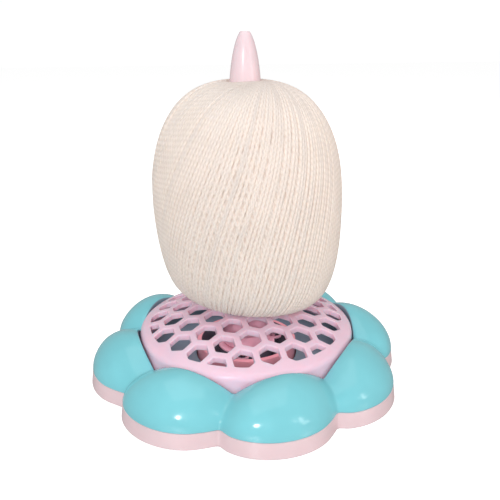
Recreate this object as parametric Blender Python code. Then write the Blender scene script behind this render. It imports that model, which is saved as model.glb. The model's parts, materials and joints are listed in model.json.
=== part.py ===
"""Yarn ball holder: flower-shaped base, honeycomb turntable on a ball bearing, spindle and ball of yarn.

Lengths are in metres. The origin is the middle of the base on the surface that it stands on, +Z is up along
the turntable's axis, and one petal points to -Y, the front.
"""
import math

import bmesh
import bpy
import numpy as np
from mathutils import Matrix, Vector

# Clearances
GAP = 0.0003
FIT = 0.0002
OVERRUN = 0.0010
WELD = 0.000002

# Flower: eight domed petals, each an ellipse in plan whose inner part sweeps round the axis
PETALS = 8
PETAL_SETBACK = 0.0023
PETAL_HALF_LENGTH = 0.0200
PETAL_OVERLAP = 1.1226
PETAL_SWEEP = math.radians(5.1)
PETAL_SWEEP_REACH = 0.75
VALLEY_EASE = math.radians(1.3)
DOME_ROUNDNESS = 1.74
DOME_RISE = 0.0178
SEAM_HEIGHT = 0.0071
COLUMNS_PER_PETAL = 8
DOME_STEPS = 8
INNER_DOME_STEPS = 6

# Honeycomb lid of the turntable
LID_RADIUS = 0.0517
LID_EDGE_HEIGHT = 0.0232
LID_CROWN_RISE = 0.0126
LID_FILLET = 0.0025
LID_SKIN = 0.0023
LID_FLOOR_ROOM = 0.0035
LID_COLUMNS = 40
LID_CROWN_STEPS = 5
LID_FILLET_STEPS = 3
SEAT_MARGIN = 0.0005
SEAT_THICKNESS = 0.0032

# Honeycomb pattern
CELL_PITCH = 0.0119
CELL_STRUT = 0.0025
CELL_TURN = math.radians(2.6)
CELL_SIDES = 6
PATTERN_RIM = 0.0049
PATTERN_RINGS = 5
LEAST_CELL_REACH = 0.0023

# Petal cover
SKIN = 0.0020
LID_GAP = 0.0011
WELL_FLOOR_BOTTOM = 0.0072
WELL_FLOOR_THICKNESS = 0.0018
COVER_FLOOR_GAP = 0.0006
COVER_SCREWS = 4
COVER_BOSS_STANDOFF = 0.0025
BOSS_ROOT_SHARE = 0.33
COVER_BOSS_RADIUS = 0.0030
COVER_SCREW_LENGTH = 0.0120
COVER_SCREW_RADIUS = 0.0013
COVER_HEAD_RADIUS = 0.0028
COVER_HEAD_HEIGHT = 0.0012

# Base tray
FOOT_STANDOUT = 0.0005
BAND_FLARE = 0.0007
TRAY_FLOOR = 0.0020
TONGUE_GAP = 0.0004
TONGUE_THICKNESS = 0.0010
TONGUE_HEIGHT = 0.0012
TONGUE_ROOT = 0.0018
GUARD_RADIUS = 0.0244
GUARD_WALL = 0.0024
GUARD_HEIGHT = 0.0128
POCKET_WALL = 0.0023
LEDGE_WIDTH = 0.0026
TRAY_BOSS_RADIUS = 0.0037
TRAY_BOSS_HEIGHT = 0.0039
TRAY_HOLE_DEPTH = 0.0019

# Rubber foot pads, each between its screw and its petal's edge
FOOT_SCREW_ROOM = 0.0023
FOOT_EDGE_ROOM = 0.0016
FOOT_THICKNESS = 0.0014

# Ballast
BALLAST_ROOM = 0.0036
BALLAST_EDGE_ROOM = 0.0039
BALLAST_THICKNESS = 0.0018
BALLAST_SCREWS = 3
BALLAST_BOSS_RADIUS = 0.0032
BALLAST_SCREW_RADIUS = 0.0012
BALLAST_SCREW_LENGTH = 0.0026
BALLAST_HEAD_RADIUS = 0.0046
BALLAST_HEAD_HEIGHT = 0.0014

# Ball bearing, 8 x 22 x 7 mm
BEARING_BORE_RADIUS = 0.0040
BEARING_OUTER_RADIUS = 0.0110
BEARING_WIDTH = 0.0070
BEARING_BALLS = 7
BALL_RADIUS = 0.00198
BALL_PLAY = 0.00025
INNER_LIP_RADIUS = 0.0063
OUTER_LIP_RADIUS = 0.0092
SHIELD_THICKNESS = 0.0004
SHIELD_INSET = 0.0003
CAGE_THICKNESS = 0.0008
CAGE_WEB = 0.00022
CAGE_COLUMNS_PER_BALL = 3
GROOVE_STEPS = 5

# Bearing retainer
RETAINER_THICKNESS = 0.0010
RETAINER_OVERHANG = 0.0006
RETAINER_SCREWS = 3
RETAINER_TURN = math.radians(251.3)
RETAINER_BOSS_RADIUS = 0.0030
RETAINER_BOSS_ROOT = 0.0006
RETAINER_SCREW_RADIUS = 0.0012
RETAINER_SCREW_LENGTH = 0.0070
RETAINER_HEAD_RADIUS = 0.0026
RETAINER_HEAD_HEIGHT = 0.0016

# Axle
AXLE_LENGTH = 0.0217
AXLE_SCREW_RADIUS = 0.0019
AXLE_SCREW_LENGTH = 0.0100
AXLE_HEAD_RADIUS = 0.0036
AXLE_HEAD_HEIGHT = 0.0013
AXLE_WASHER_RADIUS = 0.0060
AXLE_WASHER_THICKNESS = 0.0010
CAP_RADIUS = 0.0100
CAP_THICKNESS = 0.0012
CAP_ROOM = 0.0004

# Turntable hub
HUB_RADIUS = 0.0115
HUB_SPACER_HEIGHT = 0.0015
POST_HEIGHT = 0.0270
POST_CHAMFER = 0.0008
HUB_SCREWS = 3
HUB_SCREW_RADIUS = 0.0011
HUB_SCREW_LENGTH = 0.0080
HUB_HEAD_RADIUS = 0.0021
HUB_HEAD_HEIGHT = 0.0012

# Spindle
SPINDLE_RADIUS = 0.0072
SPINDLE_LENGTH = 0.1242
SPINDLE_WALL = 0.0014
SPINDLE_NOSE_LENGTH = 0.0310
SPINDLE_SOLID_TIP = 0.0103
SPINDLE_TIP_SHARE = 0.28
SPINDLE_NOSE_STEPS = 8
FLANGE_RADIUS = 0.0155
FLANGE_THICKNESS = 0.0027
FLANGE_EDGE = 0.0006

# Ball of yarn
SKEIN_RADIUS = 0.0427
SKEIN_UPPER_HEIGHT = 0.0527
SKEIN_LOWER_HEIGHT = 0.0486
SKEIN_UPPER_ROUNDNESS = (2.2, 2.8)
SKEIN_LOWER_ROUNDNESS = (1.9, 7.5)
SKEIN_BORE_PLAY = 0.0004
SKEIN_LEAN_SHARE = 0.026
SKEIN_LEAN_TURN = math.radians(-12.8)
SKEIN_STEPS = 9

# Facets round a turned piece
ROUND_FINE = 32
ROUND_PLAIN = 20
ROUND_SMALL = 8

# Places that follow from the sizes
SECTOR = 2.0 * math.pi / PETALS
OPENING_RADIUS = LID_RADIUS + LID_GAP
PETAL_CENTRE_RADIUS = OPENING_RADIUS + PETAL_SETBACK
PETAL_HALF_WIDTH = PETAL_OVERLAP * PETAL_CENTRE_RADIUS * math.tan(SECTOR / 2.0)
SWEEP_END_RADIUS = PETAL_CENTRE_RADIUS + PETAL_SWEEP_REACH * PETAL_HALF_LENGTH
PATTERN_RADIUS = LID_RADIUS - PATTERN_RIM
CELL_CORNER = (CELL_PITCH - CELL_STRUT) / math.sqrt(3.0)
SEAT_RADIUS = FLANGE_RADIUS + SEAT_MARGIN
WELL_FLOOR_TOP = WELL_FLOOR_BOTTOM + WELL_FLOOR_THICKNESS
LID_SKIRT_BOTTOM = WELL_FLOOR_TOP + LID_FLOOR_ROOM
COVER_SCREW_CIRCLE = OPENING_RADIUS + SKIN + COVER_BOSS_STANDOFF
FOOT_START = COVER_SCREW_CIRCLE + COVER_HEAD_RADIUS + GAP + FOOT_SCREW_ROOM
FOOT_END = PETAL_CENTRE_RADIUS + PETAL_HALF_LENGTH - SKIN - FOOT_EDGE_ROOM
FOOT_CIRCLE = (FOOT_START + FOOT_END) / 2.0
FOOT_RADIUS = (FOOT_END - FOOT_START) / 2.0
TRAY_FLOOR_TOP = FOOT_STANDOUT + TRAY_FLOOR
BAND_TOP = SEAM_HEIGHT - GAP
GUARD_INNER_RADIUS = GUARD_RADIUS - GUARD_WALL
CAP_BOTTOM = FOOT_STANDOUT + GAP
CAP_TOP = CAP_BOTTOM + CAP_THICKNESS
AXLE_HEAD_BOTTOM = CAP_TOP + CAP_ROOM
AXLE_HEAD_TOP = AXLE_HEAD_BOTTOM + AXLE_HEAD_HEIGHT
AXLE_WASHER_BOTTOM = AXLE_HEAD_TOP + GAP
LEDGE_TOP = AXLE_WASHER_BOTTOM + AXLE_WASHER_THICKNESS
BEARING_BOTTOM = LEDGE_TOP + GAP
BEARING_MIDDLE = BEARING_BOTTOM + BEARING_WIDTH / 2.0
BEARING_TOP = BEARING_BOTTOM + BEARING_WIDTH
RETAINER_BOTTOM = BEARING_TOP + GAP
RETAINER_TOP = RETAINER_BOTTOM + RETAINER_THICKNESS
SPACER_BOTTOM = BEARING_TOP + GAP
HUB_BOTTOM = SPACER_BOTTOM + HUB_SPACER_HEIGHT + GAP
POCKET_RADIUS = BEARING_OUTER_RADIUS + FIT
POCKET_OUTER_RADIUS = POCKET_RADIUS + POCKET_WALL
LEDGE_RADIUS = POCKET_RADIUS - LEDGE_WIDTH
CAP_HOLE_RADIUS = CAP_RADIUS + GAP
AXLE_RADIUS = BEARING_BORE_RADIUS - FIT
SPINDLE_BORE_RADIUS = SPINDLE_RADIUS - SPINDLE_WALL
POST_RADIUS = SPINDLE_BORE_RADIUS - GAP
HUB_SCREW_CIRCLE = (POST_RADIUS + GAP + HUB_RADIUS) / 2.0
RETAINER_RADIUS = POCKET_OUTER_RADIUS + RETAINER_OVERHANG
RETAINER_EAR_RADIUS = RETAINER_BOSS_RADIUS + GAP
RETAINER_SCREW_CIRCLE = POCKET_OUTER_RADIUS + RETAINER_BOSS_RADIUS - RETAINER_BOSS_ROOT
BALL_CIRCLE = (INNER_LIP_RADIUS + OUTER_LIP_RADIUS) / 2.0
CAGE_HEIGHT = 2.0 * (BALL_RADIUS + BALL_PLAY + CAGE_WEB)
SKEIN_BORE_RADIUS = SPINDLE_RADIUS + SKEIN_BORE_PLAY
BALLAST_INNER_RADIUS = GUARD_RADIUS + BALLAST_ROOM
BALLAST_OUTER_RADIUS = COVER_SCREW_CIRCLE - TRAY_BOSS_RADIUS - BALLAST_EDGE_ROOM
BALLAST_SCREW_CIRCLE = (BALLAST_INNER_RADIUS + BALLAST_OUTER_RADIUS) / 2.0
BALLAST_BOTTOM = TRAY_FLOOR_TOP + GAP
BALLAST_TOP = BALLAST_BOTTOM + BALLAST_THICKNESS


def crown_height(radius):
    """Height of the lid's top surface, a shallow parabola over its radius."""
    return LID_EDGE_HEIGHT + LID_CROWN_RISE * (1.0 - (radius / LID_RADIUS) ** 2)


SEAT_TOP = crown_height(SEAT_RADIUS)
HUB_TOP = SEAT_TOP - SEAT_THICKNESS - GAP
SPINDLE_BOTTOM = SEAT_TOP + GAP
SKEIN_BOTTOM = SPINDLE_BOTTOM + FLANGE_THICKNESS + GAP


def petal_sweep(radius):
    """Angle by which the petals are turned at a radius: all of it at the opening, none in their outer part."""
    share = (SWEEP_END_RADIUS - radius) / (SWEEP_END_RADIUS - OPENING_RADIUS)
    return PETAL_SWEEP * min(1.0, max(0.0, share))


def petal_angle(angle):
    """Angle from the middle of the nearest petal, eased where two petals meet so that the valley is soft."""
    to_valley = abs((angle + SECTOR / 2.0) % SECTOR - SECTOR / 2.0) - SECTOR / 2.0
    return SECTOR / 2.0 - math.hypot(to_valley, VALLEY_EASE)


def petal_share(radius, angle, inset):
    """How far out a point lies in its petal's ellipse: 0 in the middle, 1 on the outline."""
    alpha = petal_angle(angle)
    along = (radius * math.cos(alpha) - PETAL_CENTRE_RADIUS) / (PETAL_HALF_LENGTH - inset)
    across = radius * math.sin(alpha) / (PETAL_HALF_WIDTH - inset)
    return math.hypot(along, across)


def outline_radius(angle, inset=0.0):
    """Radius of the scalloped outline at an angle, with every ellipse made smaller by the inset."""
    alpha = petal_angle(angle)
    half_length = PETAL_HALF_LENGTH - inset
    half_width = PETAL_HALF_WIDTH - inset
    square = (math.cos(alpha) / half_length) ** 2 + (math.sin(alpha) / half_width) ** 2
    linear = PETAL_CENTRE_RADIUS * math.cos(alpha) / half_length ** 2
    constant = (PETAL_CENTRE_RADIUS / half_length) ** 2 - 1.0
    return (linear + math.sqrt(max(0.0, linear ** 2 - square * constant))) / square


def dome_height(radius, angle, inset=0.0):
    """Height of the petal's dome, a superellipse over its plan ellipse."""
    share = min(1.0, petal_share(radius, angle, inset))
    return SEAM_HEIGHT + (DOME_RISE - inset) * (1.0 - share ** DOME_ROUNDNESS) ** (1.0 / DOME_ROUNDNESS)


def dome_profile(angle, start, inset, steps):
    """Points of a dome from a start radius to the outline, closer together where it turns down."""
    end = outline_radius(angle, inset)
    radii = start + (end - start) * np.sin(np.linspace(0.0, math.pi / 2.0, steps))
    return [(radius, dome_height(radius, angle, inset)) for radius in radii]


def circle_places(count, radius, turn=0.0):
    """Evenly spaced points on a circle about the axis."""
    angles = turn + np.arange(count) * 2.0 * math.pi / count
    return [(radius * math.cos(angle), radius * math.sin(angle)) for angle in angles]


def finish_mesh(bm, name):
    """Weld a closed surface, turn its faces outwards and return it as a mesh."""
    bmesh.ops.remove_doubles(bm, verts=bm.verts, dist=WELD)
    bmesh.ops.recalc_face_normals(bm, faces=bm.faces)
    mesh = bpy.data.meshes.new(name)
    bm.to_mesh(mesh)
    bm.free()
    return mesh


def straight_out(radius):
    """Turn of a plain loft's points: none, so that its columns run straight out from the axis."""
    return 0.0 * radius


def add_loft(bm, columns, profile_at, centre=(0.0, 0.0), turn_at=straight_out):
    """Take a profile round the axis: profile_at(angle) gives its (radius, height) pairs.

    Each point is turned on about the axis by turn_at(radius). A profile that starts and ends on the axis is open,
    and any other is a closed loop."""
    angles = np.arange(columns) * 2.0 * math.pi / columns
    rows = []
    for angle in angles:
        profile = profile_at(angle)
        rows.append([bm.verts.new((centre[0] + radius * math.cos(angle + turn_at(radius)),
                                   centre[1] + radius * math.sin(angle + turn_at(radius)), height))
                     for radius, height in profile])
    points = len(rows[0])
    on_axis = profile[0][0] == 0.0 and profile[-1][0] == 0.0
    spans = points - 1 if on_axis else points
    for column in range(columns):
        here = rows[column]
        there = rows[(column + 1) % columns]
        for point in range(spans):
            after = (point + 1) % points
            bm.faces.new((here[point], there[point], there[after], here[after]))


def add_object(name, mesh, material, parent, height=0.0, place=(0.0, 0.0)):
    """Put a mesh in the scene under its parent empty, with its origin on its own axis at a height."""
    piece = bpy.data.objects.new(name, mesh)
    piece.location = (place[0], place[1], height)
    piece.parent = parent
    bpy.context.scene.collection.objects.link(piece)
    if not mesh.materials:
        mesh.materials.append(material)
        mesh.shade_smooth()
        mesh.set_sharp_from_angle(angle=math.radians(35.0))
    return piece


def turned(name, profile, columns, material, parent, height=0.0):
    """A turned piece from its profile."""
    bm = bmesh.new()
    add_loft(bm, columns, lambda angle: profile)
    return add_object(name, finish_mesh(bm, name), material, parent, height)


def turned_set(name, profile, columns, material, parent, height, places):
    """Like turned pieces, numbered from 1, one object each, on one mesh."""
    bm = bmesh.new()
    add_loft(bm, columns, lambda angle: profile)
    mesh = finish_mesh(bm, name)
    for number, place in enumerate(places, 1):
        add_object(f"{name}_{number}", mesh, material, parent, height, place)


def rod(radius, low, high):
    """Profile of a plain round rod."""
    return [(0.0, low), (radius, low), (radius, high), (0.0, high)]


def ring(inner, outer, low, high):
    """Profile of a plain flat ring."""
    return [(inner, low), (outer, low), (outer, high), (inner, high)]


def screw(head_radius, head_height, radius, length):
    """Profile of a screw with its head's underside at zero, its shank below and a pan head above."""
    point = radius
    return [(0.0, -length), (radius / 2.0, -length), (radius, point - length), (radius, 0.0),
            (head_radius, 0.0), (head_radius, head_height / 2.0),
            (head_radius - head_height / 2.0, head_height), (0.0, head_height)]


def upside_down(profile):
    """The same profile turned over."""
    return [(radius, -height) for radius, height in profile]


def tool(columns, profile, places):
    """A cutter or a boss for a boolean: like turned solids at several places."""
    bm = bmesh.new()
    for place in places:
        add_loft(bm, columns, lambda angle: profile, place)
    helper = bpy.data.objects.new("helper", finish_mesh(bm, "helper"))
    helper.hide_render = True
    helper.display_type = "WIRE"
    bpy.context.scene.collection.objects.link(helper)
    return helper


def combine(piece, helper, operation):
    """Apply one boolean to a piece and remove the helper."""
    modifier = piece.modifiers.new("combine", "BOOLEAN")
    modifier.operation = operation
    modifier.solver = "EXACT"
    modifier.object = helper
    bpy.context.view_layer.update()
    evaluated = piece.evaluated_get(bpy.context.evaluated_depsgraph_get())
    cut = bmesh.new()
    cut.from_mesh(evaluated.data)
    bmesh.ops.remove_doubles(cut, verts=cut.verts, dist=WELD)
    bmesh.ops.dissolve_degenerate(cut, edges=cut.edges, dist=WELD)
    piece.modifiers.clear()
    cut.to_mesh(piece.data)
    cut.free()
    bpy.data.objects.remove(helper, do_unlink=True)


def material(name, colour, roughness, metallic=0.0):
    """A plain Principled material."""
    made = bpy.data.materials.new(name)
    made.use_nodes = True
    shader = made.node_tree.nodes["Principled BSDF"]
    shader.inputs["Base Color"].default_value = (*colour, 1.0)
    shader.inputs["Roughness"].default_value = roughness
    shader.inputs["Metallic"].default_value = metallic
    made.diffuse_color = (*colour, 1.0)
    return made


def axis_empty(name, parent=None):
    """An empty on the turntable's axis that carries the pieces of one body."""
    empty = bpy.data.objects.new(name, None)
    empty.parent = parent
    bpy.context.scene.collection.objects.link(empty)
    return empty


def tray_profile(angle):
    """Tray section: scalloped wall with its tongue, floor, guard ring and bearing pocket."""
    outside = outline_radius(angle)
    foot = outside + BAND_FLARE
    wall = outline_radius(angle, SKIN)
    tongue_outside = outline_radius(angle, SKIN + TONGUE_GAP)
    tongue_inside = outline_radius(angle, SKIN + TONGUE_GAP + TONGUE_THICKNESS)
    tongue_top = SEAM_HEIGHT + TONGUE_HEIGHT
    guard_top = TRAY_FLOOR_TOP + GUARD_HEIGHT
    return [(CAP_HOLE_RADIUS, FOOT_STANDOUT), (foot, FOOT_STANDOUT), (outside, BAND_TOP),
            (tongue_outside, BAND_TOP), (tongue_outside, tongue_top), (tongue_inside, tongue_top),
            (tongue_inside, BAND_TOP - TONGUE_ROOT), (wall, BAND_TOP - TONGUE_ROOT - TONGUE_THICKNESS),
            (wall, TRAY_FLOOR_TOP), (GUARD_RADIUS, TRAY_FLOOR_TOP), (GUARD_RADIUS, guard_top),
            (GUARD_INNER_RADIUS, guard_top), (GUARD_INNER_RADIUS, TRAY_FLOOR_TOP),
            (POCKET_OUTER_RADIUS, TRAY_FLOOR_TOP), (POCKET_OUTER_RADIUS, BEARING_TOP),
            (POCKET_RADIUS, BEARING_TOP), (POCKET_RADIUS, LEDGE_TOP), (LEDGE_RADIUS, LEDGE_TOP),
            (LEDGE_RADIUS, CAP_TOP + GAP), (CAP_HOLE_RADIUS, CAP_TOP + GAP)]


def make_base_tray(plastic, parent):
    """Pink lower shell with its bosses, screw holes and foot pockets."""
    bm = bmesh.new()
    add_loft(bm, PETALS * COLUMNS_PER_PETAL, tray_profile, turn_at=petal_sweep)
    tray = add_object("base_tray", finish_mesh(bm, "base_tray"), plastic, parent)
    root = TRAY_FLOOR_TOP - TRAY_FLOOR / 2.0
    cover_places = circle_places(COVER_SCREWS, COVER_SCREW_CIRCLE)
    ballast_places = circle_places(BALLAST_SCREWS, BALLAST_SCREW_CIRCLE)
    retainer_places = circle_places(RETAINER_SCREWS, RETAINER_SCREW_CIRCLE, RETAINER_TURN)
    cover_boss = rod(TRAY_BOSS_RADIUS, root, TRAY_FLOOR_TOP + TRAY_BOSS_HEIGHT)
    combine(tray, tool(ROUND_SMALL, cover_boss, cover_places), "UNION")
    combine(tray, tool(ROUND_SMALL, rod(BALLAST_BOSS_RADIUS, root, BALLAST_TOP), ballast_places), "UNION")
    combine(tray, tool(ROUND_SMALL, rod(RETAINER_BOSS_RADIUS, root, BEARING_TOP), retainer_places), "UNION")
    under = FOOT_STANDOUT - OVERRUN
    head_room = FOOT_STANDOUT + TRAY_HOLE_DEPTH
    cover_hole = [(0.0, under), (COVER_HEAD_RADIUS + GAP, under), (COVER_HEAD_RADIUS + GAP, head_room),
                  (COVER_SCREW_RADIUS + GAP, head_room),
                  (COVER_SCREW_RADIUS + GAP, TRAY_FLOOR_TOP + TRAY_BOSS_HEIGHT + OVERRUN),
                  (0.0, TRAY_FLOOR_TOP + TRAY_BOSS_HEIGHT + OVERRUN)]
    combine(tray, tool(ROUND_SMALL, cover_hole, cover_places), "DIFFERENCE")
    ballast_tip = BALLAST_TOP - BALLAST_SCREW_LENGTH
    ballast_hole = rod(BALLAST_SCREW_RADIUS + GAP, ballast_tip, BALLAST_TOP + OVERRUN)
    combine(tray, tool(ROUND_SMALL, ballast_hole, ballast_places), "DIFFERENCE")
    retainer_tip = RETAINER_TOP - RETAINER_SCREW_LENGTH
    retainer_hole = rod(RETAINER_SCREW_RADIUS + GAP, retainer_tip, BEARING_TOP + OVERRUN)
    combine(tray, tool(ROUND_SMALL, retainer_hole, retainer_places), "DIFFERENCE")
    pocket = rod(FOOT_RADIUS + GAP, under, FOOT_THICKNESS + GAP)
    combine(tray, tool(ROUND_SMALL, pocket, circle_places(PETALS, FOOT_CIRCLE)), "DIFFERENCE")
    return tray


def cover_profile(angle):
    """Cover section: dome skin, seam edge, inner skin, well wall and well floor."""
    well_outside = OPENING_RADIUS + SKIN
    outer = dome_profile(angle, OPENING_RADIUS, 0.0, DOME_STEPS)
    inner = dome_profile(angle, well_outside, SKIN, INNER_DOME_STEPS)
    floor_hole = GUARD_RADIUS + COVER_FLOOR_GAP
    return outer + inner[::-1] + [(well_outside, WELL_FLOOR_BOTTOM), (floor_hole, WELL_FLOOR_BOTTOM),
                                  (floor_hole, WELL_FLOOR_TOP), (OPENING_RADIUS, WELL_FLOOR_TOP)]


def make_petal_cover(plastic, parent):
    """Teal upper shell with four screw bosses under its domes."""
    bm = bmesh.new()
    add_loft(bm, PETALS * COLUMNS_PER_PETAL, cover_profile, turn_at=petal_sweep)
    cover = add_object("petal_cover", finish_mesh(bm, "petal_cover"), plastic, parent)
    places = circle_places(COVER_SCREWS, COVER_SCREW_CIRCLE)
    boss_bottom = TRAY_FLOOR_TOP + TRAY_BOSS_HEIGHT + GAP
    swept_from = -petal_sweep(COVER_SCREW_CIRCLE)
    boss_top = dome_height(COVER_SCREW_CIRCLE, swept_from, SKIN) + BOSS_ROOT_SHARE * SKIN
    combine(cover, tool(ROUND_SMALL, rod(COVER_BOSS_RADIUS, boss_bottom, boss_top), places), "UNION")
    screw_top = FOOT_STANDOUT + TRAY_HOLE_DEPTH - GAP + COVER_SCREW_LENGTH
    pilot = rod(COVER_SCREW_RADIUS + GAP, boss_bottom - OVERRUN, screw_top + GAP)
    combine(cover, tool(ROUND_SMALL, pilot, places), "DIFFERENCE")
    return cover


def lid_profile():
    """Lid section from the post's hole over the seat, crown and rim down the skirt and back inside."""
    hole = POST_RADIUS + GAP
    arc_start_radius = LID_RADIUS - LID_FILLET
    slope = math.atan(2.0 * LID_CROWN_RISE * arc_start_radius / LID_RADIUS ** 2)
    arc_angles = np.linspace(math.pi / 2.0 - slope, 0.0, LID_FILLET_STEPS + 1)
    crown_end = arc_start_radius + LID_FILLET * math.cos(arc_angles[0])
    arc_centre = crown_height(crown_end) - LID_FILLET * math.sin(arc_angles[0])
    crown_radii = np.linspace(SEAT_RADIUS, crown_end, LID_CROWN_STEPS)
    crown = [(radius, crown_height(radius)) for radius in crown_radii]
    arc = [(arc_start_radius + LID_FILLET * math.cos(angle), arc_centre + LID_FILLET * math.sin(angle))
           for angle in arc_angles[1:]]
    inside = [(radius, crown_height(radius) - LID_SKIN)
              for radius in np.linspace(LID_RADIUS - LID_SKIN, SEAT_RADIUS, LID_CROWN_STEPS)]
    return ([(hole, SEAT_TOP)] + crown + arc
            + [(LID_RADIUS, LID_SKIRT_BOTTOM), (LID_RADIUS - LID_SKIN, LID_SKIRT_BOTTOM)] + inside
            + [(SEAT_RADIUS, SEAT_TOP - SEAT_THICKNESS), (hole, SEAT_TOP - SEAT_THICKNESS)])


def honeycomb_centres():
    """Centres of the cells outside the seat whose holes reach into the pattern."""
    across = Vector((CELL_PITCH * math.cos(CELL_TURN), CELL_PITCH * math.sin(CELL_TURN)))
    along = across.copy()
    along.rotate(Matrix.Rotation(math.radians(60.0), 2))
    centres = []
    for column in range(-PATTERN_RINGS, PATTERN_RINGS + 1):
        for row in range(-PATTERN_RINGS, PATTERN_RINGS + 1):
            centre = across * column + along * row
            if SEAT_RADIUS < centre.length < PATTERN_RADIUS + CELL_CORNER - LEAST_CELL_REACH:
                centres.append(centre)
    return centres


def make_turntable_dome(plastic, parent):
    """Pink lid with the honeycomb, cut off by a circle near its rim."""
    profile = lid_profile()
    lid = turned("turntable_dome", profile, LID_COLUMNS, plastic, parent)
    bm = bmesh.new()
    low = LID_SKIRT_BOTTOM
    high = SEAT_TOP + OVERRUN
    for centre in honeycomb_centres():
        placed = Matrix.Translation((centre.x, centre.y, (low + high) / 2.0))
        turn = Matrix.Rotation(CELL_TURN + math.pi / CELL_SIDES, 4, "Z")
        bmesh.ops.create_cone(bm, cap_ends=True, segments=CELL_SIDES, radius1=CELL_CORNER,
                              radius2=CELL_CORNER, depth=high - low, matrix=placed @ turn)
    prisms = bpy.data.objects.new("helper", finish_mesh(bm, "helper"))
    bpy.context.scene.collection.objects.link(prisms)
    limit = ring(SEAT_RADIUS, PATTERN_RADIUS, low - OVERRUN, high + OVERRUN)
    combine(prisms, tool(LID_COLUMNS, limit, [(0.0, 0.0)]), "INTERSECT")
    combine(lid, prisms, "DIFFERENCE")
    shank = rod(HUB_SCREW_RADIUS + GAP, SEAT_TOP - SEAT_THICKNESS - OVERRUN, SEAT_TOP + OVERRUN)
    sink = rod(HUB_HEAD_RADIUS + GAP, SEAT_TOP - HUB_HEAD_HEIGHT - GAP, SEAT_TOP + OVERRUN)
    places = circle_places(HUB_SCREWS, HUB_SCREW_CIRCLE, math.pi / 2.0)
    combine(lid, tool(ROUND_SMALL, shank, places), "DIFFERENCE")
    combine(lid, tool(ROUND_SMALL, sink, places), "DIFFERENCE")
    return lid


def make_turntable_hub(plastic, parent):
    """Pink column over the bearing, with the axle's blind bore and the post for the spindle."""
    bore = AXLE_RADIUS + FIT
    bore_top = BEARING_BOTTOM + AXLE_LENGTH + GAP
    post_top = HUB_TOP + POST_HEIGHT
    profile = [(0.0, bore_top), (bore, bore_top), (bore, HUB_BOTTOM), (HUB_RADIUS, HUB_BOTTOM),
               (HUB_RADIUS, HUB_TOP), (POST_RADIUS, HUB_TOP), (POST_RADIUS, post_top - POST_CHAMFER),
               (POST_RADIUS - POST_CHAMFER, post_top), (0.0, post_top)]
    hub = turned("turntable_hub", profile, ROUND_PLAIN, plastic, parent)
    screw_tip = SEAT_TOP - HUB_HEAD_HEIGHT - HUB_SCREW_LENGTH
    pilot = rod(HUB_SCREW_RADIUS + GAP, screw_tip - GAP, HUB_TOP + OVERRUN)
    places = circle_places(HUB_SCREWS, HUB_SCREW_CIRCLE, math.pi / 2.0)
    combine(hub, tool(ROUND_SMALL, pilot, places), "DIFFERENCE")
    return hub


def spindle_profile():
    """Spindle section, with zero at the flange's underside."""
    nose_start = SPINDLE_LENGTH - SPINDLE_NOSE_LENGTH
    nose_end_share = math.sqrt(1.0 - SPINDLE_TIP_SHARE ** 2)
    shares = np.sin(np.linspace(0.0, math.pi / 2.0, SPINDLE_NOSE_STEPS))
    nose = [(SPINDLE_RADIUS * math.sqrt(1.0 - (nose_end_share * share) ** 2),
             nose_start + SPINDLE_NOSE_LENGTH * share) for share in shares]
    flange_top = FLANGE_THICKNESS
    outside = [(SPINDLE_BORE_RADIUS, 0.0), (FLANGE_RADIUS, 0.0), (FLANGE_RADIUS, flange_top - FLANGE_EDGE),
               (FLANGE_RADIUS - FLANGE_EDGE, flange_top), (SPINDLE_RADIUS, flange_top)]
    core_top = SPINDLE_LENGTH - SPINDLE_SOLID_TIP
    core_tip_radius = SPINDLE_RADIUS * SPINDLE_TIP_SHARE
    inside = [(0.0, core_top), (core_tip_radius, core_top), (SPINDLE_BORE_RADIUS, nose_start)]
    return inside + outside + nose + [(0.0, SPINDLE_LENGTH)]


def skein_profile():
    """Skein section, with zero at its underside: two superellipse arcs round a plain bore."""
    widest = SKEIN_LOWER_HEIGHT
    rise_power, width_power = SKEIN_UPPER_ROUNDNESS
    top_share = (1.0 - (SKEIN_BORE_RADIUS / SKEIN_RADIUS) ** width_power) ** (1.0 / rise_power)
    upper = []
    for turn in np.linspace(0.0, math.asin(top_share ** (rise_power / 2.0)), SKEIN_STEPS):
        upper.append((SKEIN_RADIUS * math.cos(turn) ** (2.0 / width_power),
                      widest + SKEIN_UPPER_HEIGHT * math.sin(turn) ** (2.0 / rise_power)))
    drop_power, flat_power = SKEIN_LOWER_ROUNDNESS
    lower = []
    for turn in np.linspace(math.pi / 2.0, 0.0, SKEIN_STEPS)[1:-1]:
        lower.append((SKEIN_RADIUS * math.cos(turn) ** (2.0 / flat_power),
                      widest - SKEIN_LOWER_HEIGHT * math.sin(turn) ** (2.0 / drop_power)))
    return [(SKEIN_BORE_RADIUS, 0.0)] + lower + upper


def make_yarn_ball(wool, parent):
    """Wound ball of yarn: its outer shape leans a little, and its bore is upright round the spindle."""
    skein = turned("yarn_ball", skein_profile(), ROUND_FINE, wool, parent, SKEIN_BOTTOM)
    lean = Vector((math.cos(SKEIN_LEAN_TURN), math.sin(SKEIN_LEAN_TURN), 0.0)) * SKEIN_LEAN_SHARE
    height = SKEIN_LOWER_HEIGHT + SKEIN_UPPER_HEIGHT
    for vertex in skein.data.vertices:
        if vertex.co.xy.length > SKEIN_BORE_RADIUS + FIT:
            vertex.co += lean * (height - vertex.co.z)
    return skein


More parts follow.
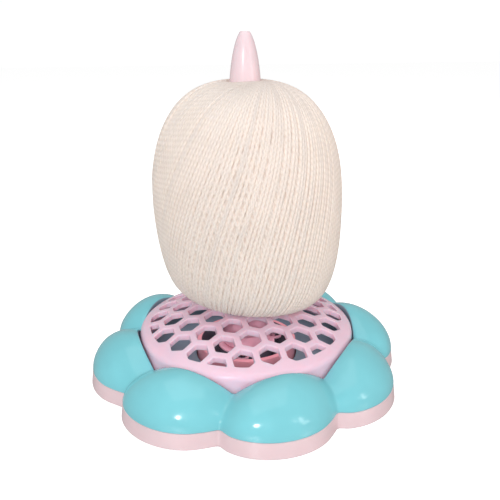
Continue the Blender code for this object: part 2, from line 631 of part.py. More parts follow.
def bearing_ring_profile(flat_radius, lip_radius):
    """Section of one bearing ring about its middle, with the groove that the balls run in."""
    groove = BALL_RADIUS + BALL_PLAY
    side = math.copysign(1.0, lip_radius - BALL_CIRCLE)
    half_angle = math.acos(abs(lip_radius - BALL_CIRCLE) / groove)
    arc = [(BALL_CIRCLE + side * groove * math.cos(turn), groove * math.sin(turn))
           for turn in np.linspace(-half_angle, half_angle, GROOVE_STEPS)]
    half_width = BEARING_WIDTH / 2.0
    return [(flat_radius, -half_width), (lip_radius, -half_width)] + arc + [(lip_radius, half_width),
                                                                            (flat_radius, half_width)]


def make_bearing(steel, brass, root, turntable, cage_axis):
    """Ball bearing: two rings, two shields, a cage and its balls."""
    outer = bearing_ring_profile(BEARING_OUTER_RADIUS, OUTER_LIP_RADIUS)
    inner = bearing_ring_profile(BEARING_BORE_RADIUS, INNER_LIP_RADIUS)
    turned("bearing_outer_ring", outer, ROUND_PLAIN, steel, root, BEARING_MIDDLE)
    turned("bearing_inner_ring", inner, ROUND_PLAIN, steel, turntable, BEARING_MIDDLE)
    shield_top = BEARING_WIDTH / 2.0 - SHIELD_INSET
    shield = ring(INNER_LIP_RADIUS + GAP, OUTER_LIP_RADIUS - FIT, shield_top - SHIELD_THICKNESS, shield_top)
    turned("bearing_upper_shield", shield, ROUND_PLAIN, steel, root, BEARING_MIDDLE)
    turned("bearing_lower_shield", upside_down(shield), ROUND_PLAIN, steel, root, BEARING_MIDDLE)
    band = ring(BALL_CIRCLE - CAGE_THICKNESS / 2.0, BALL_CIRCLE + CAGE_THICKNESS / 2.0,
                -CAGE_HEIGHT / 2.0, CAGE_HEIGHT / 2.0)
    cage_columns = BEARING_BALLS * CAGE_COLUMNS_PER_BALL
    cage = turned("bearing_cage", band, cage_columns, brass, cage_axis, BEARING_MIDDLE)
    pockets = bmesh.new()
    pocket_radius = BALL_RADIUS + BALL_PLAY
    ball_mesh = bmesh.new()
    bmesh.ops.create_icosphere(ball_mesh, subdivisions=2, radius=BALL_RADIUS)
    ball = finish_mesh(ball_mesh, "bearing_ball")
    for number, (x, y) in enumerate(circle_places(BEARING_BALLS, BALL_CIRCLE), 1):
        add_object(f"bearing_ball_{number}", ball, steel, cage_axis, BEARING_MIDDLE, (x, y))
        centre = Vector((x, y, 0.0))
        sideways = Matrix.Translation(centre) @ centre.to_track_quat("Z", "X").to_matrix().to_4x4()
        bmesh.ops.create_cone(pockets, cap_ends=True, segments=ROUND_SMALL, radius1=pocket_radius,
                              radius2=pocket_radius, depth=CAGE_THICKNESS + 2.0 * OVERRUN, matrix=sideways)
    pocket_tool = bpy.data.objects.new("helper", finish_mesh(pockets, "helper"))
    pocket_tool.location = (0.0, 0.0, BEARING_MIDDLE)
    bpy.context.scene.collection.objects.link(pocket_tool)
    combine(cage, pocket_tool, "DIFFERENCE")


def make_ballast(steel, root):
    """Steel ring on the tray's floor and the screws that hold it."""
    plate = ring(BALLAST_INNER_RADIUS, BALLAST_OUTER_RADIUS, 0.0, BALLAST_THICKNESS)
    ballast = turned("ballast_ring", plate, ROUND_FINE, steel, root, BALLAST_BOTTOM)
    places = circle_places(BALLAST_SCREWS, BALLAST_SCREW_CIRCLE)
    hole = rod(BALLAST_BOSS_RADIUS + GAP, BALLAST_BOTTOM - OVERRUN, BALLAST_TOP + OVERRUN)
    combine(ballast, tool(ROUND_SMALL, hole, places), "DIFFERENCE")
    fastener = screw(BALLAST_HEAD_RADIUS, BALLAST_HEAD_HEIGHT, BALLAST_SCREW_RADIUS, BALLAST_SCREW_LENGTH)
    turned_set("ballast_screw", fastener, ROUND_SMALL, steel, root, BALLAST_TOP + GAP, places)


def make_retainer(plastic, steel, root):
    """Moulded plate over the bearing's outer ring, with three ears, and the screws that hold it."""
    plate = ring(OUTER_LIP_RADIUS + FIT, RETAINER_RADIUS, 0.0, RETAINER_THICKNESS)
    retainer = turned("bearing_retainer", plate, ROUND_PLAIN, plastic, root, RETAINER_BOTTOM)
    places = circle_places(RETAINER_SCREWS, RETAINER_SCREW_CIRCLE, RETAINER_TURN)
    ear = rod(RETAINER_EAR_RADIUS, RETAINER_BOTTOM, RETAINER_TOP)
    combine(retainer, tool(ROUND_SMALL, ear, places), "UNION")
    hole = rod(RETAINER_SCREW_RADIUS + GAP, RETAINER_BOTTOM - OVERRUN, RETAINER_TOP + OVERRUN)
    combine(retainer, tool(ROUND_SMALL, hole, places), "DIFFERENCE")
    fastener = screw(RETAINER_HEAD_RADIUS, RETAINER_HEAD_HEIGHT, RETAINER_SCREW_RADIUS,
                     RETAINER_SCREW_LENGTH)
    turned_set("retainer_screw", fastener, ROUND_SMALL, steel, root, RETAINER_TOP + GAP, places)


def make_axle(steel, turntable):
    """Axle with the tapped hole for its screw, the washer, the screw and the spacer under the hub."""
    tapped = AXLE_SCREW_RADIUS + GAP
    tapped_top = AXLE_SCREW_LENGTH
    profile = [(0.0, tapped_top), (tapped, tapped_top), (tapped, 0.0), (AXLE_RADIUS, 0.0),
               (AXLE_RADIUS, AXLE_LENGTH), (0.0, AXLE_LENGTH)]
    turned("axle", profile, ROUND_PLAIN, steel, turntable, BEARING_BOTTOM)
    washer = ring(tapped, AXLE_WASHER_RADIUS, 0.0, AXLE_WASHER_THICKNESS)
    turned("axle_washer", washer, ROUND_PLAIN, steel, turntable, AXLE_WASHER_BOTTOM)
    fastener = screw(AXLE_HEAD_RADIUS, AXLE_HEAD_HEIGHT, AXLE_SCREW_RADIUS, AXLE_SCREW_LENGTH)
    turned("axle_screw", upside_down(fastener), ROUND_SMALL, steel, turntable, AXLE_HEAD_TOP)
    spacer = ring(AXLE_RADIUS + FIT, INNER_LIP_RADIUS - GAP, 0.0, HUB_SPACER_HEIGHT)
    turned("hub_spacer", spacer, ROUND_PLAIN, steel, turntable, SPACER_BOTTOM)


def main():
    """Build the holder, body by body."""
    for leftover in list(bpy.data.objects):
        bpy.data.objects.remove(leftover, do_unlink=True)
    pink = material("pink plastic", (0.87, 0.62, 0.66), 0.25)
    teal = material("teal plastic", (0.24, 0.66, 0.73), 0.15)
    steel = material("steel", (0.62, 0.63, 0.65), 0.30, 1.0)
    brass = material("pressed cage", (0.70, 0.62, 0.42), 0.35, 1.0)
    rubber = material("rubber", (0.06, 0.06, 0.07), 0.80)
    wool = material("cream yarn", (0.80, 0.72, 0.62), 0.90)

    root = axis_empty("base_axis")
    turntable = axis_empty("turntable_axis", root)
    cage_axis = axis_empty("bearing_cage_axis", root)
    spindle_axis = axis_empty("spindle_axis", turntable)
    yarn_axis = axis_empty("yarn_axis", spindle_axis)

    make_base_tray(pink, root)
    make_petal_cover(teal, root)
    foot = rod(FOOT_RADIUS, 0.0, FOOT_THICKNESS)
    turned_set("foot_pad", foot, ROUND_SMALL, rubber, root, 0.0, circle_places(PETALS, FOOT_CIRCLE))
    cover_screw = screw(COVER_HEAD_RADIUS, COVER_HEAD_HEIGHT, COVER_SCREW_RADIUS, COVER_SCREW_LENGTH)
    turned_set("cover_screw", upside_down(cover_screw), ROUND_SMALL, steel, root,
               FOOT_STANDOUT + TRAY_HOLE_DEPTH - GAP, circle_places(COVER_SCREWS, COVER_SCREW_CIRCLE))
    make_ballast(steel, root)
    make_bearing(steel, brass, root, turntable, cage_axis)
    make_retainer(pink, steel, root)
    turned("access_cap", rod(CAP_RADIUS, 0.0, CAP_THICKNESS), ROUND_PLAIN, pink, root, CAP_BOTTOM)

    make_axle(steel, turntable)
    make_turntable_hub(pink, turntable)
    make_turntable_dome(pink, turntable)
    hub_screw = screw(HUB_HEAD_RADIUS, HUB_HEAD_HEIGHT - FIT, HUB_SCREW_RADIUS, HUB_SCREW_LENGTH)
    turned_set("hub_screw", hub_screw, ROUND_SMALL, steel, turntable, SEAT_TOP - HUB_HEAD_HEIGHT,
               circle_places(HUB_SCREWS, HUB_SCREW_CIRCLE, math.pi / 2.0))
    turned("spindle", spindle_profile(), ROUND_PLAIN, pink, spindle_axis, SPINDLE_BOTTOM)
    make_yarn_ball(wool, yarn_axis)


main()
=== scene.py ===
"""Looks of the yarn ball holder: flower base, honeycomb turntable, spindle and wound ball of yarn.

Lengths are in metres in the frame's own axes: +Z up along the turntable's axis, one petal towards -Y.
"""
import json
import math

import bmesh
import bpy
import numpy as np
from bpy.props import FloatProperty, FloatVectorProperty, IntProperty, PointerProperty
from bpy.types import NodeSocket, Operator, Panel, PropertyGroup
from mathutils import Matrix, Vector


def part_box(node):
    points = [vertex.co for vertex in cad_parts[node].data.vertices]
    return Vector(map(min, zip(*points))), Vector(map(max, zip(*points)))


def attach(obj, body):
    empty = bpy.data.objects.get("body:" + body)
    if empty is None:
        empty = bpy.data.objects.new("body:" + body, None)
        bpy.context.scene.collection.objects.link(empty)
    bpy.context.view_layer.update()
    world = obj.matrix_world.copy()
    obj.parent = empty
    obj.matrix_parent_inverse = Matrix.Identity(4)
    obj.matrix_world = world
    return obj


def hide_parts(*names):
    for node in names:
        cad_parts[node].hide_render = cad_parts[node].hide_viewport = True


bl_info = {
    "name": "Yarn Ball Holder Looks",
    "version": (1, 0, 0),
    "blender": (4, 5, 0),
    "location": "3D View > Sidebar > Yarn Holder",
    "description": "Builds the finished surfaces of a flower-shaped yarn ball holder round its packed frame",
    "category": "Mesh",
}

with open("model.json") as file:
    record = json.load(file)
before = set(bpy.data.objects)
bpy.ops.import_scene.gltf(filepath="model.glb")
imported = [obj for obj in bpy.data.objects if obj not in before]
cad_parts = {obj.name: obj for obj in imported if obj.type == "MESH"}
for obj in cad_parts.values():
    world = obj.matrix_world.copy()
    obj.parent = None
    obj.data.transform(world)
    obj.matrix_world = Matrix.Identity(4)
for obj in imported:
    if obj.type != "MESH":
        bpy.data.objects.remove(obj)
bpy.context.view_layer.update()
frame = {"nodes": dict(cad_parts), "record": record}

# Places read from the frame
LID_LOW, LID_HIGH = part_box("turntable_dome")
HUB_LOW, HUB_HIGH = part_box("turntable_hub")
SPINDLE_LOW, SPINDLE_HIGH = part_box("spindle")
SKEIN_LOW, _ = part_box("yarn_ball")
TRAY_LOW, TRAY_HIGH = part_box("base_tray")
COVER_LOW, COVER_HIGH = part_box("petal_cover")
PLATE_LOW, PLATE_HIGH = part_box("bearing_retainer")
_, CAP_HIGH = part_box("access_cap")

FULL_TURN = 2.0 * math.pi
QUARTER_TURN = math.pi / 2.0
SIXTH_TURN = math.pi / 3.0
WHITE = (1.0, 1.0, 1.0)
CLEARANCE = 0.0003  # between two fitted parts
CUT_PAST = 0.001  # how far a cutter stands out of the face that it cuts


# Settings

def length_prop(name, text, value):
    """A length among the settings."""
    return FloatProperty(name=name, description=text, default=value, unit="LENGTH")


def angle_prop(name, text, degrees):
    """An angle among the settings."""
    return FloatProperty(name=name, description=text, default=math.radians(degrees), subtype="ANGLE")


def number_prop(name, text, value):
    """A plain number among the settings."""
    return FloatProperty(name=name, description=text, default=value)


def colour_prop(name, text, value):
    """A colour among the settings."""
    return FloatVectorProperty(name=name, description=text, default=value, subtype="COLOR", size=3)


class HolderSizes(PropertyGroup):
    """Sizes of the finished surfaces."""
    petals: IntProperty(name="Petals", description="Number of domed petals", default=8, min=3)
    petal_centre: length_prop("Petal centre", "Distance of a petal's middle from the axis", 0.0551)
    petal_half_width: length_prop("Petal half width", "Half of a petal's ellipse, sideways", 0.0256)
    petal_sweep: angle_prop("Petal sweep", "Turn of the petals at the lid's opening", 5.1)
    sweep_reach: number_prop("Sweep reach", "Share of a petal's half length where the sweep ends", 0.75)
    dome_roundness: number_prop("Dome roundness", "Power of the petal's superellipse", 1.74)
    seam_height: length_prop("Seam height", "Height of the seam between tray and petals", 0.0075)
    seam_gap: length_prop("Seam gap", "Open line between tray and petals", 0.0003)
    valley_ease: angle_prop("Valley ease", "Softening of the valley between two petals", 1.3)
    band_flare: length_prop("Band flare", "How far the tray's foot stands out past its seam", 0.0010)
    skin: length_prop("Skin", "Wall of the moulded shells", 0.0020)
    lid_gap: length_prop("Lid gap", "Running gap round the lid", 0.0011)
    lid_edge_height: length_prop("Lid edge height", "Height of the crown's parabola at the rim", 0.0232)
    lid_fillet: length_prop("Lid fillet", "Rounding of the lid's rim", 0.0032)
    lid_skin: length_prop("Lid skin", "Thickness of the honeycomb", 0.0028)
    cell_pitch: length_prop("Cell pitch", "Distance between neighbouring cells", 0.0119)
    cell_strut: length_prop("Cell strut", "Width of the bars between cells", 0.0029)
    cell_turn: angle_prop("Cell turn", "Turn of the honeycomb about the axis", 2.6)
    pattern_rim: length_prop("Pattern rim", "Solid margin round the honeycomb", 0.0049)
    strand: length_prop("Strand", "Thickness of the yarn", 0.0018)


class HolderColours(PropertyGroup):
    """Colours of the finished surfaces."""
    pink: colour_prop("Pink", "Moulded spindle and cap", (0.84, 0.67, 0.71))
    salmon: colour_prop("Salmon", "Moulded tray", (0.81, 0.615, 0.645))
    blush: colour_prop("Blush", "Moulded lid", (0.90, 0.63, 0.75))
    teal: colour_prop("Teal", "Moulded petals", (0.21, 0.61, 0.68))
    cream: colour_prop("Cream", "Yarn", (0.875, 0.762, 0.688))
    # Painted light: the guard ring is the tray's own pink plastic; this deeper pink paints the shade inside
    # the well and the pink light that glows through the lid.
    painted_glow_rose: colour_prop("Painted glow rose", "Deeper pink of the guard ring", (0.95, 0.40, 0.47))
    # Painted light: the hub and the retainer are pink plastic like the spindle; this deeper pink paints the
    # shade under the lid and the pink light that glows through it.
    painted_glow_mauve: colour_prop("Painted glow mauve", "Shaded pink of the hub and the retainer", (0.96, 0.50, 0.62))
    # Painted shade: the well's floor and wall are the cover's own teal plastic; this grey blue paints the
    # shade there, tinted by the lid's pink glow.
    painted_shade_slate: colour_prop("Painted shade slate", "Floor of the well", (0.22, 0.31, 0.38))
    # Painted shade: the inside of the guard ring is the tray's own pink plastic, painted near black where it
    # lies in deep shade round the bearing.
    painted_pit_shade: colour_prop("Painted pit shade", "Shaded ring round the bearing", (0.15, 0.13, 0.17))
    rubber: colour_prop("Rubber", "Foot pads", (0.06, 0.06, 0.07))
    steel: colour_prop("Steel", "Screws, axle and plates", (0.62, 0.63, 0.65))
    brass: colour_prop("Brass", "Bearing cage", (0.70, 0.62, 0.42))


def sizes():
    """The sizes in use."""
    return bpy.context.scene.holder_sizes


def colours():
    """The colours in use."""
    return bpy.context.scene.holder_colours


# Points and meshes from grids

def even_angles(count):
    """Even angles round the axis."""
    return np.arange(count) * FULL_TURN / count


def on_circle(angles, radius=1.0):
    """Points in plan at angles on a circle round the axis."""
    return np.stack([radius * np.cos(angles), radius * np.sin(angles)], axis=-1)


def size_of(vectors):
    """Lengths of vectors."""
    return np.linalg.norm(vectors, axis=-1)


def unit(vectors):
    """Vectors brought to length 1."""
    return vectors / np.maximum(size_of(vectors)[..., None], 1e-9)


def section_points(radii, heights):
    """Points (radius, height) of sections; either value may be the same for several points."""
    return np.stack(np.broadcast_arrays(radii, heights), axis=-1)


def round_section(corners, columns):
    """The same section for every column of a turned piece."""
    return np.repeat(np.asarray(corners, dtype=float)[None], columns, axis=0)


def softened(plan, columns):
    """Closed sections from a plan of corners (radius, height, rounding); a radius may differ by column.

    A corner C becomes the curve (1-t)^2 A + 2 t (1-t) C + t^2 B, where A and B lie one rounding before and
    after it. A supporting point on the straight run at either side keeps the shading flat there."""
    support = 0.00015
    steps = 5
    ones = np.ones(columns)
    corners = np.stack([section_points(radius * ones, height) for radius, height, _ in plan], axis=1)
    before = unit(corners - np.roll(corners, 1, axis=1))
    after = unit(np.roll(corners, -1, axis=1) - corners)
    points = []
    for index, (_, _, rounding) in enumerate(plan):
        corner = corners[:, index]
        if rounding == 0.0:
            points.append(corner)
            continue
        start = corner - before[:, index] * rounding
        end = corner + after[:, index] * rounding
        points.append(start - before[:, index] * support)
        for t in np.linspace(0.0, 1.0, steps):
            points.append((1.0 - t) ** 2 * start + 2.0 * t * (1.0 - t) * corner + t ** 2 * end)
        points.append(end + after[:, index] * support)
    return np.stack(points, axis=1)


def raised(plan, heights):
    """Points in space from points in plan and their heights."""
    return np.concatenate([plan, heights[..., None]], axis=-1)


def swept(section, angles, turn=0.0):
    """Points of sections carried round the axis: section[a, p] is the (radius, height) of point p at
    angles[a], turned on by turn."""
    return raised(on_circle(angles[:, None] + turn, section[..., 0]), section[..., 1])


def grid_faces(rows, columns, close_rows, close_columns):
    """Quads of a grid of points stored row by row; a closed way wraps round to its start."""
    row = np.arange(rows if close_rows else rows - 1)
    column = np.arange(columns if close_columns else columns - 1)
    here, across = np.meshgrid(row, column, indexing="ij")
    down = (here + 1) % rows
    right = (across + 1) % columns
    corners = ((here, across), (down, across), (down, right), (here, right))
    return np.stack([at * columns + aside for at, aside in corners], axis=-1).reshape(-1, 4)


def joined(patches):
    """Several (points, faces) patches as one."""
    points = [patch_points.reshape(-1, 3) for patch_points, _ in patches]
    starts = np.cumsum([0] + [len(flat) for flat in points])
    faces = [patch_faces + start for (_, patch_faces), start in zip(patches, starts)]
    return np.concatenate(points), np.concatenate(faces)


def mesh_from(name, points, faces, weld=0.000002):
    """A mesh from arrays of points and quads, with its doubles merged and its faces turned outwards."""
    mesh = bpy.data.meshes.new(name)
    flat = np.asarray(points, dtype=np.float32).reshape(-1, 3)
    mesh.vertices.add(len(flat))
    mesh.vertices.foreach_set("co", flat.ravel())
    mesh.loops.add(faces.size)
    mesh.loops.foreach_set("vertex_index", faces.ravel().astype(np.int32))
    mesh.polygons.add(len(faces))
    mesh.polygons.foreach_set("loop_start", np.arange(0, faces.size, faces.shape[1], dtype=np.int32))
    mesh.update(calc_edges=True)
    if weld:
        bm = bmesh.new()
        bm.from_mesh(mesh)
        bmesh.ops.remove_doubles(bm, verts=bm.verts, dist=weld)
        bmesh.ops.recalc_face_normals(bm, faces=bm.faces)
        bm.to_mesh(mesh)
        bm.free()
    mesh.validate()
    return mesh


def ring_mesh(name, section, angles, turn=0.0, centre=(0.0, 0.0)):
    """A mesh of closed sections carried round an upright axis through the centre."""
    points = swept(section, angles, turn)
    points[..., :2] += centre
    return mesh_from(name, points, grid_faces(len(angles), section.shape[1], True, True))


def turned_mesh(name, plan, columns, centre=(0.0, 0.0)):
    """A turned solid: its plan of corners rounded and turned round an upright axis through the centre."""
    return ring_mesh(name, softened(plan, columns), even_angles(columns), centre=centre)


def mark_well(mesh, inner, outer, floor, name="well"):
    """Mark the points above the floor that lie in the well, where the materials paint shade and glow: 1
    inside the inner radius, 0 past the outer.
    """
    points = np.empty(len(mesh.vertices) * 3, dtype=np.float32)
    mesh.vertices.foreach_get("co", points)
    points = points.reshape(-1, 3)
    share = np.clip((outer - size_of(points[:, :2])) / (outer - inner), 0.0, 1.0)
    layer = mesh.attributes.new(name, "FLOAT", "POINT")
    layer.data.foreach_set("value", np.where(points[:, 2] > floor, share, 0.0).astype(np.float32))


def finished(mesh, finish, body, replaced=(), sharp=40.0):
    """Put a finished mesh in the scene with its material and body, and hide the nodes that it stands for."""
    mesh.shade_smooth()
    if sharp:
        mesh.set_sharp_from_angle(angle=math.radians(sharp))
    mesh.materials.append(material(finish))
    piece = bpy.data.objects.new(mesh.name, mesh)
    bpy.context.scene.collection.objects.link(piece)
    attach(piece, body)
    if replaced:
        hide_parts(*replaced)
    return piece


def cut_holes(piece, holes):
    """Cut round holes into a piece, each given by its middle in plan, its radius, its bottom and its top."""
    columns = 48
    patches = []
    for centre, radius, bottom, top in holes:
        rim = round_section([(0.0, bottom), (radius, bottom), (radius, top), (0.0, top)], columns)
        points = swept(rim, even_angles(columns)) + (*centre, 0.0)
        patches.append((points, grid_faces(columns, 4, True, True)))
    cutter = bpy.data.objects.new("holes", mesh_from("holes", *joined(patches)))
    bpy.context.scene.collection.objects.link(cutter)
    cut = piece.modifiers.new("holes", "BOOLEAN")
    cut.operation = "DIFFERENCE"
    cut.solver = "EXACT"
    cut.object = cutter
    bpy.context.view_layer.update()
    result = bpy.data.meshes.new_from_object(piece.evaluated_get(bpy.context.evaluated_depsgraph_get()))
    piece.modifiers.clear()
    piece.data = result
    piece.data.name = piece.name
    bpy.data.objects.remove(cutter, do_unlink=True)


def disc(node):
    """Middle in plan, radius, lowest and highest level of an upright round node."""
    low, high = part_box(node)
    middle = ((low[0] + high[0]) / 2.0, (low[1] + high[1]) / 2.0)
    return middle, (high[0] - low[0]) / 2.0, low[2], high[2]


def numbered(stem):
    """The frame's nodes whose names are a stem and a number."""
    return sorted(node for node in frame["nodes"]
                  if node.startswith(stem + "_") and node[len(stem) + 1:].isdigit())


# Materials

def new_material(name):
    """A node material, its tree and its Principled shader."""
    made = bpy.data.materials.new(name)
    made.use_nodes = True
    return made, made.node_tree, made.node_tree.nodes["Principled BSDF"]


def set_inputs(tree, node, values):
    """Set a node's sockets by name or place, each to a value or to another node's output."""
    for name, value in values.items():
        if isinstance(value, NodeSocket):
            tree.links.new(value, node.inputs[name])
        else:
            node.inputs[name].default_value = value


def noise(tree, scale, detail, roughness=0.5):
    """A noise texture on object coordinates."""
    texture = tree.nodes.new("ShaderNodeTexNoise")
    place = tree.nodes.new("ShaderNodeTexCoord").outputs["Object"]
    set_inputs(tree, texture, {"Scale": scale, "Detail": detail, "Roughness": roughness, "Vector": place})
    return texture.outputs["Fac"]


def ramped(tree, value, colours_at):
    """A value spread between two colours, each given with its place."""
    ramp = tree.nodes.new("ShaderNodeValToRGB")
    for element, (place, colour) in zip(ramp.color_ramp.elements, colours_at):
        element.position = place
        element.color = (*colour, 1.0)
    tree.links.new(value, ramp.inputs["Fac"])
    return ramp.outputs["Color"]


def varied(tree, value, colour, low, high):
    """A colour that a noise value takes from a low to a high share of itself."""
    darker, lighter = (tuple(min(1.0, channel * factor) for channel in colour) for factor in (low, high))
    return ramped(tree, value, ((0.35, darker), (0.65, lighter)))


def bump(tree, height, strength, distance):
    """A bumped normal."""
    node = tree.nodes.new("ShaderNodeBump")
    set_inputs(tree, node, {"Strength": strength, "Distance": distance, "Height": height})
    return node.outputs["Normal"]


def moulded_plastic(name, colour, roughness=0.22, flow=0.02, subsurface=0.15, inside=None, painted_pit_shade=None):
    """Glossy moulded plastic: faint flow clouds, a trace of orange peel and roughness that wanders a little.

    Where a piece reaches into the well under the lid it takes the inside colour, which is painted shade and
    glow, and round the bearing a second colour of painted shade, both by its own attributes."""
    made, tree, shader = new_material(name)
    tone = varied(tree, noise(tree, 60.0, 2.0), colour, 1.0 - flow, 1.0 + flow)
    for layer, other in (("well", inside), ("painted_pit_shade", painted_pit_shade)):
        if other is None:
            continue
        place = tree.nodes.new("ShaderNodeAttribute")
        place.attribute_name = layer
        mix = tree.nodes.new("ShaderNodeMixRGB")
        set_inputs(tree, mix, {"Fac": place.outputs["Fac"], "Color1": tone, "Color2": (*other, 1.0)})
        tone = mix.outputs["Color"]
    set_inputs(tree, shader, {
        "Base Color": tone,
        "Roughness": varied(tree, noise(tree, 25.0, 4.0, 0.6), (roughness,) * 3, 0.85, 1.2),
        "Normal": bump(tree, noise(tree, 700.0, 1.0), 0.06, 0.00006),
        "IOR": 1.5,
        "Subsurface Weight": subsurface,
        "Subsurface Radius": (0.004, 0.002, 0.002),
        "Subsurface Scale": 1.0,
    })
    return made


def plated_steel(name, colour, roughness, grain):
    """Plated or ground steel with fine grain in its roughness."""
    made, tree, shader = new_material(name)
    fine = noise(tree, grain, 4.0, 0.7)
    set_inputs(tree, shader, {
        "Metallic": 1.0,
        "Base Color": varied(tree, fine, colour, 0.9, 1.06),
        "Roughness": varied(tree, fine, (roughness,) * 3, 0.7, 1.4),
        "Normal": bump(tree, fine, 0.15, 0.00003),
    })
    return made


def pad_rubber(name, colour):
    """Matt rubber with a fine pebbled skin."""
    made, tree, shader = new_material(name)
    pebble = noise(tree, 2500.0, 3.0)
    set_inputs(tree, shader, {
        "Base Color": varied(tree, pebble, colour, 0.8, 1.3),
        "Roughness": 0.8,
        "Normal": bump(tree, pebble, 0.5, 0.0001),
    })
    return made


def twisted_wool(name, colour):
    """Soft yarn: the plies' twist runs slantwise along each strand, a little darker in the grooves between
    the plies as painted shade, over faint patches of its colour.
    """
    made, tree, shader = new_material(name)
    along = tree.nodes.new("ShaderNodeUVMap")
    along.uv_map = "strand"
    wave = tree.nodes.new("ShaderNodeTexWave")
    wave.wave_type = "BANDS"
    wave.bands_direction = "DIAGONAL"
    set_inputs(tree, wave, {"Scale": 1.0, "Distortion": 1.2, "Detail": 2.0, "Vector": along.outputs["UV"]})
    twist = wave.outputs["Fac"]
    mix = tree.nodes.new("ShaderNodeMixRGB")
    mix.blend_type = "MULTIPLY"
    set_inputs(tree, mix, {
        "Fac": 1.0,
        "Color1": varied(tree, noise(tree, 90.0, 3.0), colour, 0.98, 1.02),
        # The grooves between the plies, where the twist runs low, are a little darker: painted shade.
        "Color2": ramped(tree, twist, ((0.1, (0.93, 0.92, 0.91)), (0.6, WHITE))),
    })
    set_inputs(tree, shader, {
        "Base Color": mix.outputs["Color"],
        "Roughness": 0.9,
        "Sheen Weight": 0.03,
        "Sheen Roughness": 0.5,
        "Specular IOR Level": 0.25,
        "Subsurface Weight": 0.25,
        "Subsurface Radius": (0.002, 0.0016, 0.0013),
        "Subsurface Scale": 1.0,
        "Normal": bump(tree, twist, 0.5, 0.0002),
    })
    return made


MATERIALS = {}


def material(name):
    """A material of the holder by name, made when it is first asked for."""
    if name not in MATERIALS:
        tones = colours()
        makers = {
            "pink": lambda: moulded_plastic("pink plastic", tones.pink),
            # The tray's colour inside the well is painted shade and glow, and round the bearing painted
            # shade.
            "tray pink": lambda: moulded_plastic("tray pink plastic", tones.salmon, inside=tones.painted_glow_rose,
                                                 painted_pit_shade=tones.painted_pit_shade),
            "lid pink": lambda: moulded_plastic("lid pink plastic", tones.blush, subsurface=0.6),
            "painted_glow_mauve": lambda: moulded_plastic("mauve plastic", tones.painted_glow_mauve),
            # The cover's teal turns grey blue inside the well: painted shade.
            "teal": lambda: moulded_plastic("teal plastic", tones.teal, 0.14, 0.03, 0.0, tones.painted_shade_slate),
            "wool": lambda: twisted_wool("cream yarn", tones.cream),
            "rubber": lambda: pad_rubber("foot rubber", tones.rubber),
            "steel": lambda: plated_steel("zinc plated steel", tones.steel, 0.28, 900.0),
            "polished": lambda: plated_steel("ground bearing steel", tones.steel, 0.12, 1600.0),
            "brass": lambda: plated_steel("pressed cage brass", tones.brass, 0.30, 700.0),
        }
        MATERIALS[name] = makers[name]()
    return MATERIALS[name]


# Flower outline

def sector():
    """Angle from one petal to the next."""
    return FULL_TURN / sizes().petals


def opening_radius():
    """Radius of the round opening that the lid turns in."""
    return LID_HIGH[0] + sizes().lid_gap


def petal_turn(radius):
    """Turn of the petals at a radius: the whole sweep at the opening, falling evenly to none further out."""
    end = sizes().petal_centre + sizes().sweep_reach * petal_half_length()
    share = (end - radius) / (end - opening_radius())
    return sizes().petal_sweep * np.clip(share, 0.0, 1.0)


def petal_angle(angle):
    """Angle from the nearest petal's middle, with the angle d to a valley eased to sqrt(d^2 + e^2)."""
    half = sector() / 2.0
    folded = np.abs((angle + half) % sector() - half)
    return half - np.sqrt((half - folded) ** 2 + sizes().valley_ease ** 2)


def petal_half_length():
    """Half length of a petal's ellipse along the radius, so that the flower fills the cover's box."""
    return COVER_HIGH[0] - sizes().petal_centre


def outline_radius(angle, inset=0.0):
    """Radius of the scalloped outline: where the ray at that angle leaves the petal's ellipse, made smaller
    by the inset."""
    alpha = petal_angle(angle)
    half_length = petal_half_length() - inset
    half_width = sizes().petal_half_width - inset
    square = (np.cos(alpha) / half_length) ** 2 + (np.sin(alpha) / half_width) ** 2
    linear = sizes().petal_centre * np.cos(alpha) / half_length ** 2
    constant = (sizes().petal_centre / half_length) ** 2 - 1.0
    return (linear + np.sqrt(np.maximum(0.0, linear ** 2 - square * constant))) / square


def dome_height(radius, angle, inset=0.0):
    """Height of the domes: seam + rise (1 - s^n)^(1/n), with s the share of the way out in the ellipse."""
    alpha = petal_angle(angle)
    along = (radius * np.cos(alpha) - sizes().petal_centre) / (petal_half_length() - inset)
    across = radius * np.sin(alpha) / (sizes().petal_half_width - inset)
    share = np.minimum(1.0, np.hypot(along, across))
    rise = COVER_HIGH[2] - sizes().seam_height - inset
    power = sizes().dome_roundness
    return sizes().seam_height + rise * (1.0 - share ** power) ** (1.0 / power)


def flower_angles(columns):
    """Angles round the flower, closer together towards the valleys: u + c sin(petals u) / petals."""
    closeness = 0.75
    petals = sizes().petals
    even = even_angles(petals * columns)
    return even + closeness * np.sin(petals * even) / petals


